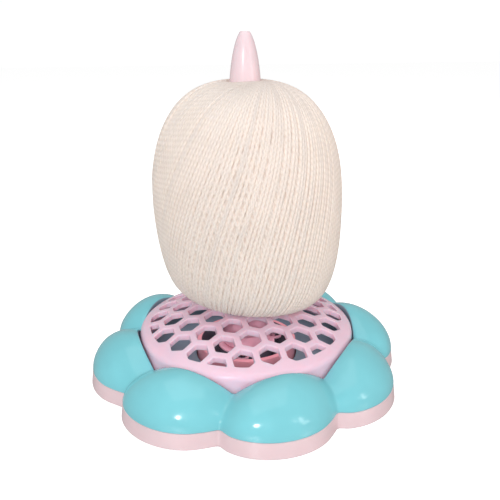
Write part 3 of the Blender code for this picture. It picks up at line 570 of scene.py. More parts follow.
class HOLDER_OT_petals(Operator):
    """Teal cover: eight domes round the turntable's opening, with the sunken floor of the well"""
    bl_idname = "holder.petals"
    bl_label = "Petal cover"

    def execute(self, context):
        angles = flower_angles(44)
        around = angles[:, None]
        skin = sizes().skin
        opening = opening_radius()
        wall_outside = opening + skin
        floor_low = COVER_LOW[2]
        floor_high = floor_low + 0.0018
        floor_hole = 0.0250
        lip_round = 0.0009
        lip_support = 0.0004

        # The domes' rows draw together towards the outline: they lie at 1 - (1 - t)^3 of the way.
        start = opening + lip_round
        way = 1.0 - (1.0 - np.linspace(0.0, 1.0, 30)) ** 3
        radii = start + (outline_radius(angles)[:, None] - start) * way
        domes = section_points(radii, dome_height(radii, around))

        # The opening's lip is a quarter circle from the well's wall up to the domes.
        turn = np.linspace(0.0, QUARTER_TURN, 6)[:-1]
        lip_top = dome_height(start, around)
        lip = section_points(start - lip_round * np.cos(turn), lip_top - lip_round * (1.0 - np.sin(turn)))
        wall = section_points(opening, lip_top - lip_round - lip_support)

        # The domes' inside, with rows that spread towards the well, and the floor with its hole.
        inner_end = outline_radius(angles, skin)[:, None]
        inner_radii = inner_end + (wall_outside - inner_end) * np.linspace(0.0, 1.0, 10) ** 2
        inner = section_points(inner_radii, dome_height(inner_radii, around, skin))
        floor = round_section([(wall_outside, floor_low), (floor_hole, floor_low), (floor_hole, floor_high),
                               (opening, floor_high)], len(angles))

        section = np.concatenate([lip, domes, inner, floor, wall], axis=1)
        mesh = ring_mesh("petal_shell", section, angles, petal_turn(section[..., 0]))
        # Inside the opening the well's wall and floor take the grey blue of painted shade.
        mark_well(mesh, opening + 0.0001, opening + 0.0003, 0.0)
        finished(mesh, "teal", "base", ["petal_cover"], 50.0)
        return {"FINISHED"}


class HOLDER_OT_tray(Operator):
    """Pink tray: scalloped band, underside with its pockets, guard ring and bearing pocket"""
    bl_idname = "holder.tray"
    bl_label = "Base tray"

    def execute(self, context):
        angles = flower_angles(36)
        skin = sizes().skin
        low = TRAY_LOW[2]
        rim = 0.00015
        rim_width = 0.0020
        band_top = sizes().seam_height - sizes().seam_gap
        tongue_top = band_top + 0.0015
        tongue_root = band_top - 0.0018
        floor_top = low + 0.0020
        guard_outer = 0.0244
        guard_inner = 0.0220
        guard_top = TRAY_HIGH[2]
        pocket_outer = 0.0135
        pocket_inner = 0.0112
        pocket_top = PLATE_LOW[2] - CLEARANCE
        ledge = 0.0086
        ledge_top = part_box("axle_washer")[1][2]
        cap_hole = CAP_HIGH[0] + CLEARANCE
        cap_top = CAP_HIGH[2] + CLEARANCE
        outside = outline_radius(angles)
        foot = outside + sizes().band_flare
        inside = outline_radius(angles, skin)
        tongue_outside = outline_radius(angles, skin + 0.0004)
        tongue_inside = outline_radius(angles, skin + 0.0014)
        plan = [
            (cap_hole, low, 0.0003), (foot - rim_width - 0.0002, low, 0.0), (foot - rim_width, rim, 0.0),
            (foot, rim, 0.0004), (outside, band_top, 0.0003), (tongue_outside, band_top, 0.0),
            (tongue_outside, tongue_top, 0.0), (tongue_inside, tongue_top, 0.0),
            (tongue_inside, tongue_root, 0.0), (inside, tongue_root - 0.0010, 0.0), (inside, floor_top, 0.0),
            (guard_outer, floor_top, 0.0004), (guard_outer, guard_top, 0.0004),
            (guard_inner, guard_top, 0.0004), (guard_inner, floor_top, 0.0004),
            (pocket_outer, floor_top, 0.0), (pocket_outer, pocket_top, 0.0003),
            (pocket_inner, pocket_top, 0.0), (pocket_inner, ledge_top, 0.0), (ledge, ledge_top, 0.0),
            (ledge, cap_top, 0.0), (cap_hole, cap_top, 0.0),
        ]
        section = softened(plan, len(angles))
        mesh = ring_mesh("tray_shell", section, angles, petal_turn(section[..., 0]))
        marked_from = floor_top - 0.0003
        # Round the guard ring the tray takes the deeper pink: painted shade and pink glow under the lid.
        mark_well(mesh, guard_outer + 0.0005, guard_outer + 0.0015, marked_from)
        # Inside the guard ring the tray is painted near black: painted shade round the bearing.
        mark_well(mesh, guard_inner + 0.0001, guard_inner + 0.0003, marked_from, "painted_pit_shade")
        tray = finished(mesh, "tray pink", "base", ["base_tray"])
        cut_underside(tray, low)
        return {"FINISHED"}


def cut_underside(tray, low):
    """Cut the pockets of the foot pads and the counterbores of the cover screws."""
    counterbore_top = low + 0.0019
    pockets = []
    for node in numbered("foot_pad") + numbered("cover_screw"):
        middle, radius, _, high = disc(node)
        top = high + CLEARANCE if node.startswith("foot_pad") else counterbore_top
        pockets.append((middle, radius + CLEARANCE, low - CUT_PAST, top))
    cut_holes(tray, pockets)


# Honeycomb lid

def seat_radius():
    """Radius of the flat seat under the spindle's flange."""
    return SPINDLE_HIGH[0] + 0.0005


def pattern_radius():
    """Radius of the circle that cuts the honeycomb's holes off."""
    return LID_HIGH[0] - sizes().pattern_rim


def hole_apothem():
    """Distance from a hole's middle to its straight sides."""
    return (sizes().cell_pitch - sizes().cell_strut) / 2.0


def cell_normals():
    """Directions from a cell's middle to its six neighbours."""
    return on_circle(sizes().cell_turn + np.arange(6) * SIXTH_TURN)


def crown_height(radius):
    """Height of the lid: the parabola edge + rise (1 - (r/R)^2), flat inside the seat."""
    share = np.maximum(radius, seat_radius()) / LID_HIGH[0]
    seat_share = seat_radius() / LID_HIGH[0]
    rise = (LID_HIGH[2] - sizes().lid_edge_height) / (1.0 - seat_share ** 2)
    return sizes().lid_edge_height + rise * (1.0 - share ** 2)


def on_crown(plan, drop=0.0):
    """Points of the lid's surface, or a drop below it, over points in plan."""
    return raised(plan, crown_height(size_of(plan)) - drop)


def cell_border(centre, limit, marks):
    """A cell's hexagon cut off by the limit circle, as points in order.

    Each of its sides has even samples and its crossings with the circle; the stretch outside is replaced by
    the circle's own marks between the crossings, so that neighbours and the rim share every point."""
    corner_reach = sizes().cell_pitch / math.sqrt(3.0)
    turns = sizes().cell_turn + SIXTH_TURN / 2.0 + np.arange(7) * SIXTH_TURN
    corners = centre + on_circle(turns, corner_reach)
    path = []
    for start, end in zip(corners[:-1], corners[1:]):
        run = end - start
        square = run @ run
        half = start @ run
        root = half ** 2 - square * (start @ start - limit ** 2)
        shares = np.arange(6) / 6.0
        if root > 0.0:
            crossings = (-half + np.array([-1.0, 1.0]) * math.sqrt(root)) / square
            shares = np.sort(np.concatenate([shares, crossings[(crossings > 0.0) & (crossings < 1.0)]]))
        path.append(start + shares[:, None] * run)
    path = np.concatenate(path)
    outside = size_of((path + np.roll(path, -1, axis=0)) / 2.0) > limit
    kept = size_of(path) <= limit + 1e-9
    if not kept.any():
        return path[:0]
    first = int(np.argmax(kept & ~outside)) if (kept & ~outside).any() else int(np.argmax(kept))
    order = (np.arange(len(path)) + first) % len(path)
    points = []
    for place, index in enumerate(order):
        if not kept[index]:
            continue
        points.append(path[index])
        if outside[index]:
            back = next((other for other in order[place + 1:] if kept[other]), order[0])
            begin, finish = (math.atan2(path[at][1], path[at][0]) for at in (index, back))
            span = (finish - begin) % FULL_TURN
            ahead = np.sort((marks - begin) % FULL_TURN)
            ahead = ahead[(ahead > 1e-4) & (ahead < span - 1e-4)]
            points.extend(on_circle(begin + ahead, limit))
    return np.array(points)


def hole_outline(centre, inside_point, directions):
    """Outline of a cell's hole along directions from a point inside it, and its outward normals.

    The hole is the hexagon inside its bars, cut off by the pattern's circle and the seat's circle. With t
    the distances to those limits, the outline lies at (sum t^-n)^(-1/n), which rounds its corners."""
    sharpness = 30.0
    far = 1.0
    normals = cell_normals()
    facing = directions @ normals.T
    room = hole_apothem() - (inside_point - centre) @ normals.T
    distances = [np.where(facing > 1e-6, room / np.maximum(facing, 1e-6), far)]
    outward = [np.broadcast_to(normals, (len(directions), 6, 2))]
    for radius, side in ((pattern_radius(), 1.0), (seat_radius(), -1.0)):
        half = directions @ inside_point
        root = half ** 2 - (inside_point @ inside_point - radius ** 2)
        reach = -half + side * np.sqrt(np.maximum(root, 0.0))
        reach = np.where((root > 0.0) & (reach > 0.0), reach, far)[:, None]
        distances.append(reach)
        outward.append(side * unit(inside_point + reach * directions)[:, None])
    distances = np.concatenate(distances, axis=1)
    nearest = distances.min(axis=1, keepdims=True)
    weights = (nearest / distances) ** sharpness
    reach = nearest * weights.sum(axis=1, keepdims=True) ** (-1.0 / sharpness)
    normal = unit((weights[..., None] * np.concatenate(outward, axis=1)).sum(axis=1))
    return inside_point + reach * directions, normal


def cell_patch(centre, border):
    """One cell of the lid: its top, the rounded edge and wall of its hole, and its underside.

    The hole's upper edge is a quarter circle, its lower edge a smaller one. A cell with less than a square
    millimetre of free room stays closed."""
    thickness = sizes().lid_skin
    edge = 0.0004
    lower_edge = 0.0002
    support = 0.0002
    least_room = 1.0e-6
    span = np.linspace(-1.0, 1.0, 61) * sizes().cell_pitch / 2.0
    samples = centre + np.stack(np.meshgrid(span, span), axis=-1).reshape(-1, 2)
    reach = size_of(samples)
    free = ((samples - centre) @ cell_normals().T < hole_apothem()).all(axis=1)
    free &= (reach < pattern_radius()) & (reach > seat_radius())
    if free.sum() * (span[1] - span[0]) ** 2 < least_room:
        middle = border.mean(axis=0)
        loops = middle + np.array([1.0, 0.6, 0.3, 0.0])[:, None, None] * (border - middle)
        faces = grid_faces(len(loops), len(border), False, True)
        return joined([(on_crown(loops), faces), (on_crown(loops, thickness), faces[:, ::-1])])
    inside_point = samples[free].mean(axis=0)
    outline, normal = hole_outline(centre, inside_point, unit(border - inside_point))
    beside = outline + (edge + support) * normal
    rows = [(border, 0.0), ((border + beside) / 2.0, 0.0), (beside, 0.0)]
    for turn in np.linspace(0.0, QUARTER_TURN, 5):
        rows.append((outline + edge * (1.0 - math.sin(turn)) * normal, edge * (1.0 - math.cos(turn))))
    rows += [(outline, edge + support), (outline, thickness - lower_edge - support / 2.0)]
    for turn in np.linspace(0.0, QUARTER_TURN, 3):
        rows.append((outline + lower_edge * (1.0 - math.cos(turn)) * normal,
                     thickness - lower_edge * (1.0 - math.sin(turn))))
    rows += [((border + outline) / 2.0, thickness), (border, thickness)]
    points = np.stack([on_crown(plan, drop) for plan, drop in rows])
    return points, grid_faces(len(rows), len(border), False, True)


def lid_rim(angles, limit):
    """Rim of the lid outside the cells: crown, rounded shoulder, skirt and inside."""
    radius = LID_HIGH[0]
    low = LID_LOW[2]
    fillet = sizes().lid_fillet
    thickness = sizes().lid_skin
    support = 0.0002
    foot = 0.0003
    slope = math.atan(2.0 * (LID_HIGH[2] - sizes().lid_edge_height) * (radius - fillet) / radius ** 2)
    turns = np.linspace(QUARTER_TURN - slope, 0.0, 9)
    arc = radius - fillet + fillet * np.cos(turns)
    arc_middle = crown_height(arc[0]) - fillet * math.sin(turns[0])
    crown = np.append(np.linspace(limit, radius - fillet, 5)[:-1], arc[0] - support)
    inner = np.linspace(radius - thickness, limit, 3)
    section = np.concatenate([
        section_points(crown, crown_height(crown)),
        section_points(arc, arc_middle + fillet * np.sin(turns)),
        [(radius, arc_middle - support), (radius, low + foot + support), (radius, low + foot),
         (radius - foot * 0.3, low + foot * 0.3), (radius - foot, low), (radius - thickness, low)],
        section_points(inner, crown_height(inner) - thickness),
    ])
    points = swept(round_section(section, len(angles)), angles)
    return points, grid_faces(len(angles), len(section), True, False)


class HOLDER_OT_lid(Operator):
    """Honeycomb lid of the turntable"""
    bl_idname = "holder.lid"
    bl_label = "Honeycomb lid"

    def execute(self, context):
        overlap = 0.0012
        marks_turn = 0.0007
        limit = pattern_radius() + overlap
        marks = even_angles(180) + marks_turn
        pitch = sizes().cell_pitch
        across, along = pitch * cell_normals()[:2]
        reach = range(-6, 7)
        patches = []
        rim_angles = [marks]
        for centre in (column * across + row * along for column in reach for row in reach):
            if size_of(centre) > limit + pitch / math.sqrt(3.0):
                continue
            border = cell_border(centre, limit, marks)
            if len(border) < 3:
                continue
            on_rim = np.abs(size_of(border) - limit) < 1e-7
            rim_angles.append(np.arctan2(border[on_rim, 1], border[on_rim, 0]) % FULL_TURN)
            patches.append(cell_patch(centre, border))
        angles = np.sort(np.concatenate(rim_angles))
        angles = angles[np.concatenate([[True], np.diff(angles) > 1e-5])]
        patches.append(lid_rim(angles, limit))
        mesh = mesh_from("honeycomb_lid", *joined(patches))
        finished(mesh, "lid pink", "turntable", ["turntable_dome"], 0.0)
        return {"FINISHED"}


# Turned pieces

class HOLDER_OT_hub(Operator):
    """Hub column under the lid, with the post for the spindle"""
    bl_idname = "holder.hub"
    bl_label = "Turntable hub"

    def execute(self, context):
        radius = HUB_HIGH[0]
        low = HUB_LOW[2]
        high = HUB_HIGH[2]
        seat_thickness = 0.0032
        shoulder = LID_HIGH[2] - seat_thickness - CLEARANCE
        post = 0.0055
        bore = 0.0040
        bore_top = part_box("axle")[1][2] + CLEARANCE
        plan = [(0.0, bore_top, 0.0), (bore, bore_top, 0.0), (bore, low, 0.0), (radius, low, 0.0005),
                (radius, shoulder, 0.0003), (post, shoulder, 0.0), (post, high, 0.0008), (0.0, high, 0.0)]
        mesh = turned_mesh("hub_column", plan, 96)
        # The hub's deeper pink is painted shade and glow under the lid.
        finished(mesh, "painted_glow_mauve", "turntable", ["turntable_hub"])
        return {"FINISHED"}


class HOLDER_OT_spindle(Operator):
    """Spindle with its foot flange and rounded nose"""
    bl_idname = "holder.spindle"
    bl_label = "Spindle"

    def execute(self, context):
        low = SPINDLE_LOW[2]
        high = SPINDLE_HIGH[2]
        radius = 0.0072
        bore = radius - 0.0014
        bore_end = high - 0.0103
        flange = SPINDLE_HIGH[0]
        flange_top = low + 0.0027
        nose = 0.0310
        nose_start = high - nose
        tip_share = 0.28
        tip = radius * tip_share
        plan = [(0.0, bore_end, 0.0), (tip, bore_end, 0.0), (bore, nose_start, 0.0), (bore, low, 0.0004),
                (flange, low, 0.0006), (flange, flange_top, 0.0009), (radius, flange_top, 0.0008),
                (radius, nose_start - 0.0004, 0.0)]
        # The nose is a quarter ellipse that stops where its radius has come down to the tip's.
        end = math.acos(tip_share)
        for turn in np.linspace(0.0, end, 30)[:-1]:
            plan.append((radius * math.cos(turn), nose_start + nose * math.sin(turn) / math.sin(end), 0.0))
        plan += [(tip, high, 0.0004), (0.0, high, 0.0)]
        finished(turned_mesh("spindle_rod", plan, 96), "pink", "spindle", ["spindle"])
        return {"FINISHED"}


# Fasteners, pads and plates

def pan_head(name, centre, seat, direction, head, height, length):
    """A pan-head screw with a cross recess, standing on its seat and pointing up or down.

    Over the head's disc the height is pan + dent, where the pan is the quarter ellipse at the rim and the
    dent follows the distance to the two crossed slots."""
    columns = 56
    shank = head * 0.46
    slot_half_width = head * 0.13
    slot_reach = head * 0.58
    slot_side = head * 0.09
    rim_from = 0.86
    radii = head * np.concatenate([np.linspace(0.0, rim_from, 16), [0.92, 0.96, 0.985, 1.0]])
    angles = even_angles(columns)
    ring, turn = np.meshgrid(radii, angles, indexing="ij")
    plan = on_circle(turn, ring)
    rim = np.clip((ring / head - rim_from) / (1.0 - rim_from), 0.0, 1.0)
    pan = height * (0.5 + 0.5 * np.sqrt(np.maximum(0.0, 1.0 - rim ** 2)))
    x, y = np.moveaxis(np.abs(plan), -1, 0)
    to_slot = np.minimum(np.maximum(x - slot_half_width, y - slot_reach),
                         np.maximum(y - slot_half_width, x - slot_reach))
    dent = np.clip(0.5 - to_slot / slot_side, 0.0, 1.0)
    dent = dent * dent * (3.0 - 2.0 * dent)
    top = raised(plan, pan - dent * height * 0.6)
    below = [(head, 0.0), (shank, 0.0), (shank, shank - length), (shank * 0.5, -length), (0.0, -length)]
    points = np.concatenate([top, swept(round_section(below, columns), angles).swapaxes(0, 1)])
    points[..., 2] *= direction
    points += (*centre, seat)
    return mesh_from(name, points, grid_faces(len(points), columns, False, True))


class HOLDER_OT_fasteners(Operator):
    """Screws of the cover, the hub and the bearing's retainer"""
    bl_idname = "holder.fasteners"
    bl_label = "Screws"

    def execute(self, context):
        for stem, body, direction, height in (("cover_screw", "base", -1.0, 0.0012),
                                              ("retainer_screw", "base", 1.0, 0.0016),
                                              ("hub_screw", "turntable", 1.0, 0.0011)):
            for node in numbered(stem):
                middle, head, low, high = disc(node)
                seat = high - height if direction > 0.0 else low + height
                mesh = pan_head(node + "_steel", middle, seat, direction, head, height, high - low - height)
                finished(mesh, "steel", body, [node])
        return {"FINISHED"}


def disc_mesh(name, node, columns):
    """A round pad or cap: a flat disc as large as its node, with its edges rounded."""
    middle, radius, low, high = disc(node)
    plan = [(0.0, low, 0.0), (radius, low, 0.0003), (radius, high, 0.0002), (0.0, high, 0.0)]
    return turned_mesh(name, plan, columns, middle)


class HOLDER_OT_pads(Operator):
    """Rubber foot pads"""
    bl_idname = "holder.pads"
    bl_label = "Foot pads"

    def execute(self, context):
        for node in numbered("foot_pad"):
            finished(disc_mesh(node + "_rubber", node, 48), "rubber", "base", [node])
        return {"FINISHED"}


class HOLDER_OT_plates(Operator):
    """Bearing retainer plate and the cap under the axle"""
    bl_idname = "holder.plates"
    bl_label = "Retainer and cap"

    def execute(self, context):
        retainer_plate()
        finished(disc_mesh("cap_disc", "access_cap", 80), "pink", "base", ["access_cap"])
        return {"FINISHED"}


def retainer_plate():
    """Three-eared plate over the bearing: its outline is the soft maximum (d^n + e^n)^(1/n) of the disc's
    radius d and the far side e of the ears' circles."""
    columns = 240
    angles = even_angles(columns)
    low = PLATE_LOW[2]
    high = PLATE_HIGH[2]
    bore = 0.0094
    disc_radius = 0.0141
    ear = 0.0033
    screw_hole = 0.0015
    edge = 0.0002
    sharpness = 40.0
    screws = [disc(node)[0] for node in numbered("retainer_screw")]
    total = np.ones(columns)
    for x, y in screws:
        away = math.hypot(x, y)
        aside = angles - math.atan2(y, x)
        root = ear ** 2 - (away * np.sin(aside)) ** 2
        far = away * np.cos(aside) + np.sqrt(np.maximum(root, 0.0))
        far = np.where((root > 0.0) & (np.cos(aside) > 0.0), far, 0.0)
        total += (far / disc_radius) ** sharpness
    outline = disc_radius * total ** (1.0 / sharpness)
    plan = [(bore, low, edge), (outline, low, edge), (outline, high, edge), (bore, high, edge)]
    mesh = ring_mesh("retainer_plate", softened(plan, columns), angles)
    # The plate's deeper pink is painted shade and glow under the lid.
    plate = finished(mesh, "painted_glow_mauve", "base", ["bearing_retainer"])
    cut_holes(plate, [(place, screw_hole, low - CUT_PAST, high + CUT_PAST) for place in screws])


class HOLDER_OT_inner_parts(Operator):
    """Finishes of the ballast, the bearing and the axle, whose solids stay as they are"""
    bl_idname = "holder.inner_parts"
    bl_label = "Inner parts"

    def execute(self, context):
        finishes = {"plain_steel": "steel", "bearing_steel": "polished", "cage_brass": "brass"}
        for part in frame["record"]["subparts"]:
            finish = finishes.get(part["material_slot"])
            node = frame["nodes"][part["node"]]
            if finish and not node.hide_render:
                node.data.materials.clear()
                node.data.materials.append(material(finish))
        return {"FINISHED"}


# Ball of yarn

# The skein's radius, its reach above and below its widest level, that level, its top and its front
SKEIN_RADIUS = 0.0427
SKEIN_ABOVE = 0.0527
SKEIN_BELOW = 0.0476
SKEIN_FOOT = 0.0486
SKEIN_MIDDLE = SKEIN_LOW[2] + SKEIN_FOOT
SKEIN_TOP = SKEIN_LOW[2] + 0.1013
SKEIN_FRONT = math.radians(-102.0)


def skein_reach(direction):
    """Distance from the skein's middle to its skin along directions, found by halving.

    Above the middle the skin is (r/R)^2.8 + (z/H)^2.2 = 1, below it (r/R)^7.6 + (z/h)^2 = 1."""
    flat = size_of(direction[..., :2])
    rise = direction[..., 2]
    above = rise > 0.0
    across_power = np.where(above, 2.8, 7.6)
    along_power = np.where(above, 2.2, 2.0)
    tall = np.where(above, SKEIN_ABOVE, SKEIN_BELOW)
    near = np.zeros_like(flat)
    far = np.full_like(flat, 2.0 * (SKEIN_ABOVE + SKEIN_BELOW))
    for _ in range(40):
        guess = (near + far) / 2.0
        total = (guess * flat / SKEIN_RADIUS) ** across_power + (guess * np.abs(rise) / tall) ** along_power
        near = np.where(total < 1.0, guess, near)
        far = np.where(total < 1.0, far, guess)
    return near


def leaned(points):
    """The skein's slight lean, its bow and its fuller lower half.

    With d a point's depth below the top and b its depth below the middle, the point moves by lean d along
    the lean's direction, to the left by bow exp(-((d - m) / w)^2) round the depth m, then by left b and
    back b, and last up by -lift x (b / foot)^2, which lifts the lower left side."""
    lean = 0.026
    turn = math.radians(-12.8)
    bow = 0.0006
    bow_depth = 0.050
    bow_width = 0.022
    left = 0.006
    back = 0.0125
    lift = 0.075
    depth = SKEIN_TOP - points[..., 2]
    below = np.maximum(0.0, SKEIN_MIDDLE - points[..., 2])
    moved = points.copy()
    moved[..., 0] += lean * math.cos(turn) * depth - bow * np.exp(-((depth - bow_depth) / bow_width) ** 2)
    moved[..., 1] += lean * math.sin(turn) * depth
    moved[..., 0] -= left * below
    moved[..., 1] += back * below
    moved[..., 2] -= lift * moved[..., 0] * (below / SKEIN_FOOT) ** 2
    return moved


def on_skein(direction, height):
    """Points of the leaned skein, a height over its skin, along directions from its middle."""
    reach = skein_reach(direction) + height
    return leaned(direction * reach[..., None] + (0.0, 0.0, SKEIN_MIDDLE))


def wound_strand(turns, samples, start, slant, lift, uneven, seed):
    """Middle line of a strand wound over the skein, leaning the same way all round it.

    Each turn starts as a circle in a plane through the skein's middle that passes close to the axis, and
    its plane swings half a turn round the axis over the layer. On its way from pole to pole the strand is
    twisted about the axis by tan(lean) c tanh((90 degrees - p) / c), with p its angle from the axis. The
    lean follows the sine of the place where the strand crosses the middle. Near the axis the strand bends
    round the spindle: p becomes (p^6 + a^6)^(1/6), with a the hole's own angle, which is wider below where
    the skein leans away."""
    twist_reach = 1.05
    bend = 6
    crossing = 4.0
    wander_spread = 0.30
    miss = math.radians(7.4)
    miss_sway = math.radians(0.6)
    lean_sway = math.radians(0.5)
    hole_above = math.radians(8.4)
    hole_below = math.radians(13.5)
    height_sway = 0.00005
    random = np.random.default_rng(seed)
    count = turns * samples
    t = np.arange(count) * FULL_TURN / samples
    share = np.arange(count) / count
    knots = np.arange(turns + 1)
    wander = np.interp(share * turns, knots, random.normal(0.0, wander_spread, turns + 1) * uneven)
    sway = np.interp(share * turns, knots, random.normal(0.0, 1.0, turns + 1) * uneven)
    azimuth = start + math.pi * (share + wander / turns)
    pass_by = miss + miss_sway * sway
    normal = raised(on_circle(azimuth, np.cos(pass_by)), np.sin(pass_by))
    level = np.stack([-np.sin(azimuth), np.cos(azimuth), np.zeros(count)], axis=-1)
    circle = level * np.cos(t)[:, None] + np.cross(normal, level) * np.sin(t)[:, None]
    climbing = np.tanh(crossing * np.cos(t))
    facing = azimuth + climbing * QUARTER_TURN - SKEIN_FRONT
    lean = slant[0] - slant[1] * np.sin(facing) + lean_sway * sway - climbing * pass_by
    polar = np.arctan2(size_of(circle[:, :2]), circle[:, 2])
    twist = np.tan(lean) * twist_reach * np.tanh((QUARTER_TURN - polar) / twist_reach)
    around = np.arctan2(circle[:, 1], circle[:, 0]) + twist
    from_axis = np.minimum(polar, math.pi - polar)
    hole = np.where(circle[:, 2] > 0.0, hole_above, hole_below)
    bent = (from_axis ** bend + hole ** bend) ** (1.0 / bend)
    direction = raised(on_circle(around, np.sin(bent)), np.sign(circle[:, 2]) * np.cos(bent))
    return on_skein(direction, lift[0] + (lift[1] - lift[0]) * share + height_sway * sway)


def tube(path, radius, sides):
    """A tube along a path: rings of points square to it, whose first points face away from the axis."""
    ahead = unit(np.gradient(path, axis=0))
    away = path - (0.0, 0.0, SKEIN_MIDDLE)
    away = unit(away - (away * ahead).sum(axis=-1, keepdims=True) * ahead)
    side = np.cross(ahead, away)
    turn = even_angles(sides)[:, None]
    return path[:, None] + radius * (np.cos(turn) * away[:, None] + np.sin(turn) * side[:, None])


def strand_mesh(name, path, radius, sides, twist):
    """A strand's tube with its own UV map: u runs along it in twists and v once round it."""
    rows = len(path)
    mesh = mesh_from(name, tube(path, radius, sides), grid_faces(rows, sides, False, True), 0.0)
    length = np.concatenate([[0.0], np.cumsum(size_of(np.diff(path, axis=0)))])
    row = np.arange(rows - 1).repeat(sides)
    column = np.tile(np.arange(sides), rows - 1)
    u = np.stack([length[row], length[row + 1], length[row + 1], length[row]], axis=-1) / twist
    v = np.stack([column, column, column + 1, column + 1], axis=-1) / sides
    layer = mesh.uv_layers.new(name="strand")
    layer.data.foreach_set("uv", np.stack([u, v], axis=-1).astype(np.float32).ravel())
    return mesh


def skein_core():
    """Plain body under the strands: the skin drawn in a little, closed by the hole for the spindle."""
    columns = 64
    rows = 40
    inset = 0.0005
    bore = 0.0078
    pole = 0.20
    turn, polar = np.meshgrid(even_angles(columns), np.linspace(pole, math.pi - pole, rows), indexing="ij")
    points = on_skein(raised(on_circle(turn, np.sin(polar)), np.cos(polar)), -inset)
    ends = points[:, [0, -1]]
    ends[..., :2] = on_circle(turn[:, :1], bore)
    section = np.concatenate([ends[:, :1], points, ends[:, 1:]], axis=1)
    mesh = mesh_from("yarn_core", section, grid_faces(columns, rows + 2, True, True))
    layer = mesh.uv_layers.new(name="strand")
    layer.data.foreach_set("uv", np.zeros(len(layer.data) * 2, dtype=np.float32))
    return mesh


class HOLDER_OT_yarn(Operator):
    """Wound ball of yarn: outer strands, the crossing strands under them and a core"""
    bl_idname = "holder.yarn"
    bl_label = "Ball of yarn"

    def execute(self, context):
        strand = sizes().strand
        twist = strand * 2.2
        samples = 120
        sides = 9
        # Name, turns, start and slants in degrees, height over the skin at either end, unevenness and seed.
        layers = [("yarn_under", 64, 30.0, (-18.0, 0.0), (-0.0011, -0.0009), 0.8, 11),
                  ("yarn_outer", 70, 78.0, (19.0, 8.5), (-0.0006, -0.0004), 0.55, 23)]
        for name, turns, start, slant, lift, uneven, seed in layers:
            path = wound_strand(turns, samples, math.radians(start), np.radians(slant), lift, uneven, seed)
            part = len(path) // 2
            for half, stretch in enumerate((path[:part + 1], path[part:]), 1):
                mesh = strand_mesh(f"{name}_{half}", stretch, strand / 2.0, sides, twist)
                replaced = ["yarn_ball"] if name == "yarn_outer" else ()
                finished(mesh, "wool", "yarn", replaced, 0.0)
        finished(skein_core(), "wool", "yarn", (), 0.0)
        return {"FINISHED"}


# Stage

def seen_level(tree, others, camera, glossy):
    """A strength with one value for camera and glass, one for glossy reflections and one for other rays."""
    path = tree.nodes.new("ShaderNodeLightPath")
    total = others
    levels = (("Is Camera Ray", camera), ("Is Transmission Ray", camera), ("Is Glossy Ray", glossy))
    for ray, value in levels:
        step = tree.nodes.new("ShaderNodeMath")
        step.operation = "MULTIPLY_ADD"
        set_inputs(tree, step, {0: path.outputs[ray], 1: value - others, 2: total})
        total = step.outputs["Value"]
    return total


def add_floor():
    """Pale floor that shows white, also to glossy rays as an even mirror, and keeps the object's shadow."""
    bpy.ops.mesh.primitive_plane_add(size=6.0, location=(0.0, 0.0, 0.0))
    floor = bpy.context.object
    floor.name = "floor"
    made, tree, shader = new_material("pale floor")
    set_inputs(tree, shader, {
        "Base Color": seen_level(tree, 0.60, 0.86, 0.86),
        "Roughness": seen_level(tree, 0.9, 0.9, 0.45),
        "Metallic": seen_level(tree, 0.0, 0.0, 1.0),
        "Specular IOR Level": 0.0,
        "Emission Color": (*WHITE, 1.0),
        "Emission Strength": seen_level(tree, 0.0, 0.58, 0.0),
    })
    floor.data.materials.append(made)


def add_world(scene):
    """Even pale surroundings that the camera sees as white."""
    world = bpy.data.worlds.new("studio")
    scene.world = world
    world.use_nodes = True
    tree = world.node_tree
    strength = seen_level(tree, 0.47, 1.02, 0.40)
    set_inputs(tree, tree.nodes["Background"], {"Color": (*WHITE, 1.0), "Strength": strength})


def new_lamp(name, place, size, power, colour):
    """A rectangular lamp, which faces down until it is turned."""
    data = bpy.data.lights.new(name, "AREA")
    data.shape = "RECTANGLE"
    data.size, data.size_y = size
    data.energy = power
    data.color = colour
    lamp = bpy.data.objects.new(name, data)
    lamp.location = place
    bpy.context.scene.collection.objects.link(lamp)
    return lamp


def add_lamp(name, place, size, power, mirrored=True, colour=WHITE):
    """A soft lamp that faces the holder; the broad ones round it show no mirror image of themselves."""
    target = Vector((0.0, 0.0, 0.06))
    lamp = new_lamp(name, place, size, power, colour)
    lamp.visible_glossy = mirrored
    lamp.rotation_euler = (target - Vector(place)).to_track_quat("-Z", "Y").to_euler()


def add_lid_glow():
    """Light that the translucent lid lets through: a faint square lamp under it, facing down."""
    side = 0.066
    height = LID_LOW[2] + 0.0080
    lamp = new_lamp("lid glow", (0.0, 0.0, height), (side, side), 0.0068, (1.0, 0.93, 0.95))
    lamp.visible_camera = False
    lamp.visible_glossy = False


def add_camera(scene):
    """Camera at the photograph's place, height and focal length."""
    data = bpy.data.cameras.new("camera")
    data.lens = 44.29
    data.sensor_width = 36.0
    data.clip_start = 0.01
    camera = bpy.data.objects.new("camera", data)
    ahead = Vector((0.1991, 0.9210, -0.3340)).normalized()
    right = ahead.cross(Vector((0.0, 0.0, 1.0))).normalized()
    up = right.cross(ahead)
    turn = Matrix((right, up, -ahead)).transposed().to_4x4()
    roll = Matrix.Rotation(math.radians(-0.13), 4, "Z")
    camera.matrix_world = Matrix.Translation((-0.05621, -0.26929, 0.15879)) @ turn @ roll
    scene.collection.objects.link(camera)
    scene.camera = camera


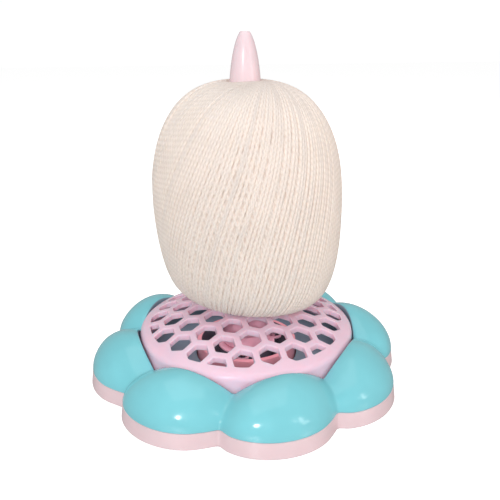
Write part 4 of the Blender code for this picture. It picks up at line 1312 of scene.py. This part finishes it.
class HOLDER_OT_stage(Operator):
    """Floor, world, lamps and camera"""
    bl_idname = "holder.stage"
    bl_label = "Stage"

    def execute(self, context):
        scene = context.scene
        scene.view_settings.view_transform = "Standard"
        add_floor()
        add_world(scene)
        add_lamp("key", (-0.455, -0.79, 0.475), (0.11, 0.11), 2.0)
        add_lamp("window", (0.60, -0.70, 0.42), (0.10, 0.22), 0.5)
        add_lamp("pane", (0.66, -0.66, 0.26), (0.18, 0.07), 0.25)
        add_lamp("sash", (0.46, -0.80, 0.50), (0.05, 0.15), 0.13)
        add_lamp("top", (-0.1, 0.0, 0.95), (0.90, 0.90), 2.1)
        add_lamp("front", (-0.28, -1.17, 0.66), (0.42, 0.32), 5.6, False)
        add_lamp("warm fill", (0.95, -0.55, 0.32), (0.50, 0.40), 0.7, False, (1.0, 0.62, 0.42))
        add_lamp("back fill", (0.45, 1.05, 0.60), (0.50, 0.35), 2.4, False, (1.0, 0.90, 0.86))
        add_lid_glow()
        add_camera(scene)
        return {"FINISHED"}


class HOLDER_PT_panel(Panel):
    """Buttons for every group of pieces"""
    bl_idname = "HOLDER_PT_panel"
    bl_label = "Yarn Ball Holder"
    bl_space_type = "VIEW_3D"
    bl_region_type = "UI"
    bl_category = "Yarn Holder"

    def draw(self, context):
        column = self.layout.column()
        for operator in PIECES:
            column.operator(operator.bl_idname)
        for group in (sizes(), colours()):
            for name in group.bl_rna.properties.keys():
                if name not in {"rna_type", "name"}:
                    column.prop(group, name)


PIECES = (HOLDER_OT_tray, HOLDER_OT_petals, HOLDER_OT_lid, HOLDER_OT_hub, HOLDER_OT_spindle,
          HOLDER_OT_fasteners, HOLDER_OT_pads, HOLDER_OT_plates, HOLDER_OT_inner_parts, HOLDER_OT_yarn,
          HOLDER_OT_stage)
CLASSES = (HolderSizes, HolderColours) + PIECES + (HOLDER_PT_panel,)


def register():
    """Register the classes and hang the settings on the scene."""
    for kind in CLASSES:
        bpy.utils.register_class(kind)
    bpy.types.Scene.holder_sizes = PointerProperty(type=HolderSizes)
    bpy.types.Scene.holder_colours = PointerProperty(type=HolderColours)


def unregister():
    """Take the settings and the classes away again."""
    del bpy.types.Scene.holder_colours
    del bpy.types.Scene.holder_sizes
    for kind in reversed(CLASSES):
        bpy.utils.unregister_class(kind)


def main():
    """Build every piece and the stage."""
    register()
    for operator in PIECES:
        group, name = operator.bl_idname.split(".")
        getattr(getattr(bpy.ops, group), name)()


if __name__ == "__main__":
    main()
